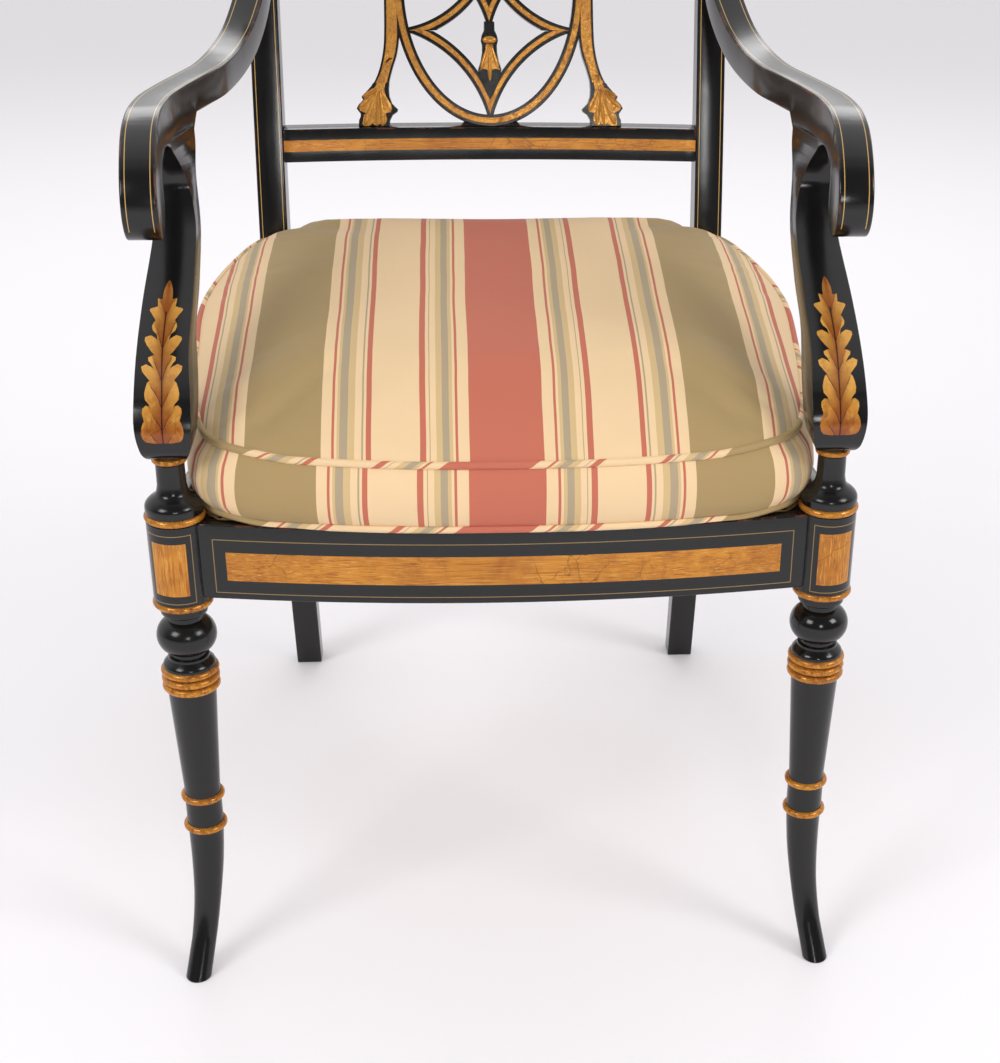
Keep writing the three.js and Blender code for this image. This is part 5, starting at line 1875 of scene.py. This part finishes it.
# How far the lower seam is set in round the front corners; below 0 it is set out
CORNER_SET_IN = -0.0035
CORNER_LIFT = 0.004
LOWER_SEAM = CUSHION_LOW + 0.0045
HANG = 0.4178
# The cover's mesh, how near a seam it is held, and how long it settles
COVER_MESH = 0.0054
HELD_NEAR = 0.0062
SETTLE_FRAMES = 24
# The cover's base: how far it is drawn in to the middle, and its height over the cushion's lowest
BASE_DRAWN_IN = 0.05
BASE_RISE = 0.0012
# How far the lower seam lies inside the upper one, from the front to the back
LOWER_SET_IN = (
    (-0.200, 0),
    (-0.100, 0.0050),
    (-0.040, 0.0090),
    (0.045, 0.0160),
    (0.100, 0.0150),
    (0.150, 0.0110),
    (0.192, 0.0040),
    (0.199, 0),
)
# Swell of the boxing past the seams, from the front to the back
BOXING_SWELL = (
    (-0.262, 0.0060),
    (-0.240, 0.0105),
    (-0.222, 0.0145),
    (-0.195, 0.0115),
    (-0.150, 0.0075),
    (0.150, 0.0060),
    (0.195, 0.0020),
    (0.220, 0.0050),
)
# Rings of the cover from the lower seam up: share of the boxing's swell, share of its height, share
# of the way in to the middle, share of the crown
COVER_RINGS = (
    (0.76, 0.2, 0, 0),
    (1, 0.45, 0, 0),
    (0.72, 0.78, 0, 0),
    (0, 1, 0, 0),
    (0, 1, 0.022, 0.2),
    (0, 1, 0.06, 0.42),
    (0, 1, 0.12, 0.63),
    (0, 1, 0.2, 0.79),
    (0, 1, 0.3, 0.89),
    (0, 1, 0.42, 0.95),
    (0, 1, 0.56, 0.98),
    (0, 1, 0.7, 1),
    (0, 1, 0.86, 1),
)


def seam_plan():
    """The upper seam in plan: the right half from the middle of the front, and the left half back."""
    side = through(SEAM_PLAN, 100)
    tongue = POST_INNER - SEAM_GAP
    turned_in = side[-1].y + 0.001
    inmost = Vector((tongue - NOTCH_RADIUS, turned_in))
    notch = [side[-1].lerp(inmost, share) for share in (0.35, 0.7)]
    back = arc((tongue - NOTCH_RADIUS, turned_in + NOTCH_RADIUS), NOTCH_RADIUS, -90, 0, 5)
    corner = arc((tongue - REAR_RADIUS, CUSHION_BACK - REAR_RADIUS), REAR_RADIUS, 0, 90, 6)
    rear = [Vector((x, CUSHION_BACK)) for x in places(tongue - REAR_RADIUS, 0, 0.008)]
    half = [*side, *notch, *back, *corner, *rear]
    return [*half, Vector((0, CUSHION_BACK)), *[Vector((-p.x, p.y)) for p in reversed(half[1:])]]


def piping_height(p):
    """The upper seam's height: it climbs to the back, and is held up at the front corners."""
    share = (p.y - CUSHION_FRONT) / (CUSHION_BACK - CUSHION_FRONT)
    return blend(PIPING_FRONT, PIPING_BACK, share) + CORNER_LIFT * cornered(p)


def set_in(line, distance):
    """A closed line drawn in towards its own inside, by a distance worked out for each place."""
    moved = []
    for before, p, after in zip(line[-1:] + line[:-1], line, line[1:] + line[:1]):
        run = (after - before).normalized()
        moved.append(p + Vector((-run.y, run.x)) * distance(p))
    return moved


def hanging(p):
    """1 along the front, where the lower seam hangs over the rail's edge."""
    return 1 - climb(abs(p.x), 0.175, 0.04) if p.y < -0.2 else 0


def cornered(p):
    """1 round the front corners, where the lower seam is drawn in."""
    return climb(abs(p.x), 0.16, 0.05) * climb(-p.y, 0.12, 0.06)


def lower_set_in(p):
    return CORNER_SET_IN * cornered(p) + level(LOWER_SET_IN, p.y)


def seam_lines():
    line = seam_plan()
    upper = [Vector((p.x, p.y, piping_height(p))) for p in line]
    lower = [
        Vector((q.x, q.y, blend(LOWER_SEAM, HANG, hanging(p))))
        for p, q in zip(line, set_in(line, lower_set_in))
    ]
    return upper, lower


def cover_rings():
    """The cover before it swells: a base inside the lower seam, then one ring upon another."""
    line = seam_plan()
    upper, lower = seam_lines()
    swollen = set_in(line, lambda p: -level(BOXING_SWELL, p.y))
    middle = Vector((0, (CUSHION_FRONT + CUSHION_BACK) / 2))
    base = [p.lerp(Vector((*middle, p.z)), BASE_DRAWN_IN) for p in lower]
    bm = bmesh.new()
    verts = [bm.verts.new((p.x, p.y, CUSHION_LOW + BASE_RISE)) for p in base]
    bm.faces.new(verts)
    edges = list(bm.edges)
    order = {v: i for i, v in enumerate(verts)}
    for out, up, inward, crown in ((0, 0, 0, 0), *COVER_RINGS):
        verts, edges = drawn_line(bm, edges)
        new = {}
        for v in verts:
            old = next(e.other_vert(v) for e in v.link_edges if e.other_vert(v) in order)
            new[v] = order[old]
        for v, i in new.items():
            seam = lower[i].lerp(upper[i], up)
            flat = seam.xy + (swollen[i] - line[i]) * out
            flat = flat.lerp(middle, inward)
            lift = piping_height(flat) - piping_height(seam) if inward else 0
            v.co = (*flat, seam.z + lift + forms().crown * crown)
        order = new
    bmesh.ops.holes_fill(bm, edges=edges)
    bmesh.ops.recalc_face_normals(bm, faces=bm.faces)
    return bm


def settled_cover():
    """Swells the cover by a cloth simulation, held along its two seams and underneath."""
    bm = cover_rings()
    mesh = bpy.data.meshes.new("seat_cushion_cover")
    bm.to_mesh(mesh)
    bm.free()
    obj = bpy.data.objects.new("seat_cushion_cover", mesh)
    bpy.context.scene.collection.objects.link(obj)
    bpy.context.view_layer.objects.active = obj
    obj.select_set(True)
    mesh.remesh_voxel_size = COVER_MESH
    bpy.ops.object.voxel_remesh()
    upper, lower = seam_lines()
    seams = mathutils.kdtree.KDTree(len(upper) + len(lower))
    for i, place in enumerate([*upper, *lower]):
        seams.insert(place, i)
    seams.balance()
    start = [v.co.copy() for v in obj.data.vertices]
    held = obj.vertex_groups.new(name="held")
    for i, place in enumerate(start):
        near = seams.find(place)[2]
        if near < HELD_NEAR or place.z < LOWER_SEAM + 0.001:
            held.add([i], 1.0, "REPLACE")
    cloth = obj.modifiers.new("cloth", "CLOTH")
    cloth.settings.use_pressure = True
    cloth.settings.uniform_pressure_force = forms().swell
    cloth.settings.vertex_group_mass = "held"
    cloth.settings.quality = 6
    cloth.settings.effector_weights.gravity = 0
    cloth.settings.tension_stiffness = 12
    cloth.settings.compression_stiffness = 8
    cloth.settings.bending_stiffness = 0.6
    cloth.point_cache.frame_start = 1
    cloth.point_cache.frame_end = SETTLE_FRAMES
    scene = bpy.context.scene
    for now in range(1, SETTLE_FRAMES + 1):
        scene.frame_set(now)
    settled = obj.evaluated_get(bpy.context.evaluated_depsgraph_get()).to_mesh()
    moved = [v.co.copy() for v in settled.vertices]
    obj.modifiers.remove(cloth)
    scene.frame_set(1)
    return obj, start, moved


def cover_shape():
    obj, start, moved = settled_cover()
    reach = forms().reach
    for v, first, now in zip(obj.data.vertices, start, moved):
        way = now - first
        if way.length > reach:
            now = first + way * (reach / way.length)
        v.co = now
    bm = bmesh.new()
    bm.from_mesh(obj.data)
    bpy.data.objects.remove(obj)
    return bm


def cushion_cover():
    """The swollen cover, with its weave laid out in metres: across the seat, or round the boxing."""
    bm = cover_shape()
    for _ in range(2):
        bmesh.ops.smooth_vert(
            bm, verts=bm.verts, factor=0.4, use_axis_x=True, use_axis_y=True, use_axis_z=True
        )
    line = seam_plan()
    run = 0
    rounds = mathutils.kdtree.KDTree(len(line))
    lengths = []
    for i, (p, after) in enumerate(zip(line, line[1:] + line[:1])):
        rounds.insert((p.x, p.y, 0), i)
        lengths.append(run)
        run += (after - p).length
    rounds.balance()
    weave = bm.loops.layers.uv.new("weave")
    for face in bm.faces:
        middle = face.calc_center_median()
        boxing = face.normal.z > -0.8 and middle.z < piping_height(middle) - 0.0005
        for loop in face.loops:
            place = loop.vert.co
            if not boxing:
                loop[weave].uv = (place.x, place.y)
                continue
            near = rounds.find((place.x, place.y, 0))[1]
            after = (near + 1) % len(line)
            edge = line[after] - line[near]
            on = (Vector((place.x, place.y)) - line[near]).dot(edge) / edge.length
            length = lengths[near] + on
            if near > len(line) / 2:
                length -= run
            loop[weave].uv = (length, place.z)
    return bm


def piping(line, radius):
    """A cord round the cushion, with its length and turn kept for the slanting stripes."""
    bm = bmesh.new()
    around = 10
    rings = []
    count = len(line)
    for i, place in enumerate(line):
        run = (line[(i + 1) % count] - line[i - 1]).normalized()
        out = Vector((run.y, -run.x, 0)).normalized()
        up = run.cross(out).normalized()
        made = bmesh.ops.create_circle(bm, segments=around, radius=radius)["verts"]
        turn = Matrix((out, up, run)).transposed().to_4x4()
        turn.translation = place
        bmesh.ops.transform(bm, matrix=turn, verts=made)
        rings.append(made)
    edges = [list({e for v in ring for e in v.link_edges}) for ring in rings]
    for first, second in zip(edges, edges[1:] + edges[:1]):
        bmesh.ops.bridge_loops(bm, edges=first + second)
    bmesh.ops.recalc_face_normals(bm, faces=bm.faces)
    weave = bm.loops.layers.uv.new("weave")
    place_of = {v: (i, k) for i, ring in enumerate(rings) for k, v in enumerate(ring)}
    length = [0]
    for p, after in zip(line, line[1:] + line[:1]):
        length.append(length[-1] + (after - p).length)
    for face in bm.faces:
        corners = [place_of[loop.vert] for loop in face.loops]
        wraps = max(c[0] for c in corners) - min(c[0] for c in corners) > 1
        turns = max(c[1] for c in corners) - min(c[1] for c in corners) > 1
        for loop, (i, k) in zip(face.loops, corners):
            along = length[count] if wraps and i == 0 else length[i]
            turn = around if turns and k == 0 else k
            loop[weave].uv = (along, 2 * math.pi * radius * turn / around)
    return bm


# Colours of the stripes from the middle of the broad red one, with each one's outer edge in metres
STRIPE_EDGES = (
    ("red", 0.0284),
    ("cream", 0.0368),
    ("red", 0.0386),
    ("cream", 0.0408),
    ("tan", 0.0437),
    ("slate", 0.0487),
    ("tan", 0.0535),
    ("cream", 0.0580),
    ("slate", 0.0590),
    ("cream", 0.0617),
    ("red", 0.0662),
    ("cream", 0.1027),
    ("red", 0.1067),
    ("cream", 0.1087),
    ("slate", 0.1098),
    ("cream", 0.1152),
    ("tan", 0.1202),
    ("slate", 0.1262),
    ("tan", 0.1287),
    ("cream", 0.1307),
    ("red", 0.1322),
    ("cream", 0.1402),
    ("olive", 0.1700),
)
# The red stripe's middle, where the pattern turns back, and the stripes' spread towards the back
STRIPE_MIDDLE = 0.001
STRIPE_FOLD = 0.1700
STRIPE_SPREAD = 0.03


def cloth(name, bias=0.0):
    """Striped cotton. A bias above 0 slants the stripes, as on the piping."""
    w = Wiring(name)
    settings = finishes()
    node = w.tree.nodes.new("ShaderNodeUVMap")
    node.uv_map = "weave"
    flat = node.outputs[0]
    u, v, _ = w.axes(flat)
    if bias:
        across = w.math("ADD", w.times(u, 0.75), w.times(v, bias))
    else:
        wander = w.times(w.math("SUBTRACT", w.noise(flat, 9.0, 2.0), 0.5), 0.003)
        spread = w.times(w.rise(v, CUSHION_FRONT, CUSHION_BACK), STRIPE_SPREAD)
        shifted = w.math("ADD", w.math("SUBTRACT", u, STRIPE_MIDDLE), wander)
        across = w.math("DIVIDE", w.math("ABSOLUTE", shifted), w.math("ADD", 1.0, spread))
    across = w.math("PINGPONG", across, STRIPE_FOLD)
    stops = []
    low = 0
    for colour, high in STRIPE_EDGES:
        stops.append((low / STRIPE_FOLD, tuple(getattr(settings, colour))))
        low = high
    colour = w.stripes(w.math("DIVIDE", across, STRIPE_FOLD), stops)
    weft = w.noise(w.stretch(flat, (900.0, 5200.0, 1.0)), 1.0, 2.0, 0.6)
    warp = w.noise(w.stretch(flat, (5200.0, 500.0, 1.0)), 1.0, 2.0, 0.6)
    weave = w.times(w.math("ADD", weft, warp), 0.5)
    soil = w.rise(w.noise(flat, 7.0, 4.0), 0.3, 0.8)
    threads = w.times(w.rise(weave, 0.35, 0.65), 0.12)
    shade = w.math("ADD", threads, w.times(soil, 0.1))
    dark = w.mix(0.55, colour, (0.05, 0.03, 0.02))
    w.set(Base_Color=w.mix(shade, colour, dark), Roughness=0.78, Specular_IOR_Level=0.25)
    w.set(Sheen_Weight=0.12, Sheen_Roughness=0.4)
    w.set(Normal=w.bump(weave, 0.35, 0.0004, w.bump(w.noise(flat, 26.0, 3.0), 0.25, 0.004)))
    return w.material


# Studio
CAMERA_PLACE = Vector((-0.03174, -1.54308 + SET_BACK, 1.01631))
CAMERA_YAW = math.radians(4.34309)
CAMERA_PITCH = math.radians(28.14878)
CAMERA_ROLL = math.radians(-0.94185)
CAMERA_SHIFT = (-0.0847, 0.0941)

# How bright gloss sees the room's side, and how much light the camera sees added to the floor
ROOM_SIDE = 0.16
FLOOR_LIFT = 0.06
FLOOR_SIZE = 12
SURROUND = (241, 240, 240)
# From the room's side to its open end, as the direction's part along the room
OPEN_FROM = -0.35
OPEN_TO = 0.25
LAMP_AIM = Vector((0, 0, 0.45))
# Soft lamps, as (name, place, size, share of the power)
SOFT_LAMPS = (
    ("left_softbox", (-2.3, -2.2, 2.5), (1.3, 1.3), 1),
    ("right_softbox", (2.5, -1.6, 2.2), (1.1, 1.1), 0.8),
    ("front_softbox", (0.25, -2.7, 1.15), (0.34, 0.34), 0.16),
    ("rear_softbox", (0, 2.5, 2), (2.4, 0.9), 0.42),
)


def studio_floor():
    bm = bmesh.new()
    bmesh.ops.create_grid(bm, x_segments=8, y_segments=8, size=FLOOR_SIZE)
    mesh = bpy.data.meshes.new("studio_floor")
    bm.to_mesh(mesh)
    bm.free()
    obj = bpy.data.objects.new("studio_floor", mesh)
    bpy.context.scene.collection.objects.link(obj)
    w = Wiring("studio_floor")
    pale = tuple(bpy.context.scene.chair_studio.floor)
    mottle = w.times(w.noise(w.place, 3.0, 3.0), 0.03)
    w.set(Base_Color=w.mix(mottle, pale, tuple(0.7 * c for c in pale)), Roughness=0.7)
    w.set(Specular_IOR_Level=0.2)
    rays = w.tree.nodes.new("ShaderNodeLightPath")
    lifted = w.times(rays.outputs["Is Camera Ray"], FLOOR_LIFT)
    w.set(Emission_Color=(1.0, 1.0, 1.0), Emission_Strength=lifted)
    mesh.materials.append(w.material)
    obj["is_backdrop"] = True


def studio_lamp(name, place, size, power):
    lamp = bpy.data.lights.new(name, "AREA")
    lamp.shape = "RECTANGLE"
    lamp.size, lamp.size_y = size
    lamp.energy = power
    obj = bpy.data.objects.new(name, lamp)
    obj.location = place
    obj.rotation_euler = (LAMP_AIM - Vector(place)).to_track_quat("-Z", "Y").to_euler()
    bpy.context.scene.collection.objects.link(obj)


def studio_sky():
    """Even light all round. The camera sees it white, and gloss sees the room's side darker."""
    world = bpy.data.worlds.new("studio")
    world.use_nodes = True
    tree = world.node_tree
    tree.nodes.clear()
    output = tree.nodes.new("ShaderNodeOutputWorld")
    light = tree.nodes.new("ShaderNodeBackground")
    seen = tree.nodes.new("ShaderNodeBackground")
    rays = tree.nodes.new("ShaderNodeLightPath")
    mix = tree.nodes.new("ShaderNodeMixShader")
    facing = tree.nodes.new("ShaderNodeTexCoord")
    split = tree.nodes.new("ShaderNodeSeparateXYZ")
    fade = tree.nodes.new("ShaderNodeMapRange")
    open_side = tree.nodes.new("ShaderNodeMath")
    tree.links.new(facing.outputs["Generated"], split.inputs[0])
    tree.links.new(split.outputs[1], fade.inputs["Value"])
    fade.inputs["From Min"].default_value = OPEN_FROM
    fade.inputs["From Max"].default_value = OPEN_TO
    fade.inputs["To Min"].default_value = ROOM_SIDE
    open_side.operation = "MAXIMUM"
    tree.links.new(fade.outputs[0], open_side.inputs[0])
    tree.links.new(rays.outputs["Is Camera Ray"], open_side.inputs[1])
    tree.links.new(open_side.outputs[0], seen.inputs["Strength"])
    light.inputs["Strength"].default_value = bpy.context.scene.chair_studio.sky
    seen.inputs["Color"].default_value = (*paint(*SURROUND), 1)
    either = rays.outputs["Is Camera Ray"]
    for name in ("Is Glossy Ray", "Is Transmission Ray"):
        node = tree.nodes.new("ShaderNodeMath")
        node.operation = "MAXIMUM"
        tree.links.new(either, node.inputs[0])
        tree.links.new(rays.outputs[name], node.inputs[1])
        either = node.outputs[0]
    tree.links.new(either, mix.inputs[0])
    tree.links.new(light.outputs[0], mix.inputs[1])
    tree.links.new(seen.outputs[0], mix.inputs[2])
    tree.links.new(mix.outputs[0], output.inputs["Surface"])
    bpy.context.scene.world = world


def studio_camera():
    camera = bpy.data.cameras.new("camera")
    camera.lens = bpy.context.scene.chair_studio.lens
    camera.sensor_width = 36
    camera.shift_x, camera.shift_y = CAMERA_SHIFT
    yaw, pitch, roll = CAMERA_YAW, CAMERA_PITCH, CAMERA_ROLL
    forward = Vector(
        (math.sin(yaw) * math.cos(pitch), math.cos(yaw) * math.cos(pitch), -math.sin(pitch))
    )
    right = Vector((math.cos(yaw), -math.sin(yaw), 0))
    down = forward.cross(right)
    rolled_right = right * math.cos(roll) + down * math.sin(roll)
    rolled_down = down * math.cos(roll) - right * math.sin(roll)
    turn = Matrix((rolled_right, -rolled_down, -forward)).transposed().to_4x4()
    turn.translation = CAMERA_PLACE
    obj = bpy.data.objects.new("camera", camera)
    obj.matrix_world = turn
    bpy.context.scene.collection.objects.link(obj)
    bpy.context.scene.camera = obj


# Operators
class BuildLegs(bpy.types.Operator):
    """Turns the front legs and the stumps above them"""

    bl_idname = "chair.legs"
    bl_label = "Front legs and stumps"

    def execute(self, context):
        wood = lacquered("leg_lacquer", leg_block_gilding, LEG_GRAIN)
        leaf = gilded("bead_gilding")
        add_pair("leg", front_leg, [wood, leaf], "front_leg")
        add_pair("stump", arm_stump, [wood, leaf], "arm_stump")
        return {"FINISHED"}


class BuildArms(bpy.types.Operator):
    """Shapes the scrolled arms and their supports, and lays the gilt leaf on each support"""

    bl_idname = "chair.arms"
    bl_label = "Arms and supports"

    def execute(self, context):
        lined = lacquered("arm_lacquer", arm_lines)
        plain = lacquered("support_lacquer")
        add_pair("arm_rest", arm, [lined], "arm")
        add_pair("support", arm_support, [plain], "arm_support")
        add_pair("support_leaf", support_leaf, [leaf_paint("leaf_gilding")], None)
        return {"FINISHED"}


class BuildBack(bpy.types.Operator):
    """Shapes the posts, the lower back rail and the crest rail"""

    bl_idname = "chair.back"
    bl_label = "Back posts and rails"

    def execute(self, context):
        lined = lacquered("post_lacquer", post_lines)
        add_pair("post", back_post, [lined], "back_post")
        band = lacquered("back_rail_lacquer", back_rail_gilding, BACK_GRAIN)
        add_piece("back_rail", lower_back_rail(), [band], ["lower_back_rail"])
        top = lacquered("crest_lacquer", crest_gilding, BACK_GRAIN)
        add_piece("crest", crest_rail(), [top], ["crest_rail"])
        return {"FINISHED"}


class BuildSplat(bpy.types.Operator):
    """Joins the pierced splat from its oval, lozenges, straps and carved leaves"""

    bl_idname = "chair.splat"
    bl_label = "Splat"

    def execute(self, context):
        black = lacquered("splat_lacquer")
        # The splat's bands and carving carry a painted highlight of pale gold
        band = gilded("band_gilding", SPLAT_GRAIN, BAND_PAINTED_HIGHLIGHT)
        leaf = gilded("carved_gilding", SPLAT_GRAIN, CARVED_PAINTED_HIGHLIGHT)
        nodes = ["lyre_splat"]
        add_piece("splat_oval", splat_oval(), [black, band], nodes)
        add_piece("splat_clasps", splat_clasp(), [black, leaf], nodes)
        for end, way, lift in (("lower", 1, 0), ("upper", -1, UPPER_LIFT)):
            pieces = (
                ("lozenge", splat_lozenge(way, lift), band),
                ("straps", splat_strap(way), band),
                ("feet", splat_foot(way), leaf),
                ("husk", splat_husk(way), leaf),
                ("pad", splat_pad(way), band),
            )
            for name, bm, gilt in pieces:
                add_piece(f"splat_{end}_{name}", bm, [black, gilt], nodes)
        return {"FINISHED"}


class BuildSeat(bpy.types.Operator):
    """Saws the seat rails and weaves the cane"""

    bl_idname = "chair.seat"
    bl_label = "Seat frame and cane"

    def execute(self, context):
        front = lacquered("front_rail_lacquer", front_rail_gilding, RAIL_GRAIN)
        plain = lacquered("seat_rail_lacquer")
        add_piece("front_rail", front_rail(), [front], ["front_seat_rail"])
        add_piece("rear_rail", rear_rail(), [plain], ["rear_seat_rail"])
        add_pair("side_rail", side_rail, [plain], "side_seat_rail")
        strands = cane_paint("cane_skin")
        add_piece("cane_strands", cane_strands(), [strands], ["cane_panel"])
        add_piece("cane_binding", cane_binding(), [strands], ["cane_panel"])
        return {"FINISHED"}


class BuildCushion(bpy.types.Operator):
    """Fills and covers the striped cushion and lays its piping"""

    bl_idname = "chair.cushion"
    bl_label = "Cushion"

    def execute(self, context):
        stripes = cloth("striped_cotton")
        node = ["seat_cushion"]
        cover = add_piece("cushion_cover", cushion_cover(), [stripes], node, "cushion")
        cover.data.shade_smooth()
        softer = cover.modifiers.new("softer", "SUBSURF")
        softer.levels = 1
        softer.render_levels = 1
        bias = cloth("bias_cotton", 0.9)
        upper, lower = seam_lines()
        pressed = [cover]
        for name, line in (("upper_piping", upper), ("lower_piping", lower)):
            cord = piping(line, forms().piping)
            pressed.append(add_piece(f"cushion_{name}", cord, [bias], node, "cushion"))
        # Each piece gets its own copy of its mesh
        for piece in pressed:
            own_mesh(piece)
        return {"FINISHED"}


class FinishHidden(bpy.types.Operator):
    """Gives the blocks, dowels, plugs and screws their own finishes"""

    bl_idname = "chair.hidden"
    bl_label = "Blocks and fasteners"

    def execute(self, context):
        wood = bare_wood("bare_beech")
        metal = steel("dull_steel_screws")
        black = lacquered("plug_lacquer")
        for name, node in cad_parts.items():
            if "block_" in name and "screw" in name or name.endswith("arm_screw"):
                dress(node, metal)
            elif name.endswith("corner_block") or name.endswith("dowel"):
                dress(node, wood)
            elif name.endswith("plug"):
                dress(node, black)
        return {"FINISHED"}


def dress(node, material):
    for slot in node.material_slots:
        slot.material = material
    if not node.material_slots:
        node.data.materials.append(material)


class SetStudio(bpy.types.Operator):
    """Sets up the floor, the soft lamps, the pale surround and the camera"""

    bl_idname = "chair.studio"
    bl_label = "Studio"

    def execute(self, context):
        power = context.scene.chair_studio.lamp
        studio_floor()
        studio_sky()
        for name, place, size, share in SOFT_LAMPS:
            studio_lamp(name, place, size, power * share)
        studio_camera()
        context.scene.view_settings.view_transform = "Standard"
        return {"FINISHED"}


class ChairPanel(bpy.types.Panel):
    """Lists the chair's groups of pieces in the order they are made"""

    bl_idname = "VIEW3D_PT_chair"
    bl_label = "Lyre back armchair"
    bl_space_type = "VIEW_3D"
    bl_region_type = "UI"
    bl_category = "Chair"

    def draw(self, context):
        for operator in OPERATORS:
            self.layout.operator(operator.bl_idname)
        for group_name in GROUPS:
            group = getattr(context.scene, group_name)
            for name in group.__annotations__:
                self.layout.prop(group, name)


GROUPS = {"chair_finishes": ChairFinishes, "chair_forms": ChairForms, "chair_studio": ChairStudio}
OPERATORS = (
    SetStudio,
    BuildLegs,
    BuildArms,
    BuildBack,
    BuildSplat,
    BuildSeat,
    BuildCushion,
    FinishHidden,
)
CLASSES = (*GROUPS.values(), *OPERATORS, ChairPanel)


def register():
    for cls in CLASSES:
        bpy.utils.register_class(cls)
    for name, group in GROUPS.items():
        setattr(bpy.types.Scene, name, bpy.props.PointerProperty(type=group))


def unregister():
    for name in GROUPS:
        delattr(bpy.types.Scene, name)
    for cls in reversed(CLASSES):
        bpy.utils.unregister_class(cls)


def main():
    register()
    for operator in OPERATORS:
        name = operator.bl_idname.split(".")[1]
        getattr(bpy.ops.chair, name)()
    sizes = {"cad": CAD_BOX, "visual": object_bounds()}
    sizes = {name: [list(corner) for corner in box] for name, box in sizes.items()}


if __name__ == "__main__":
    main()
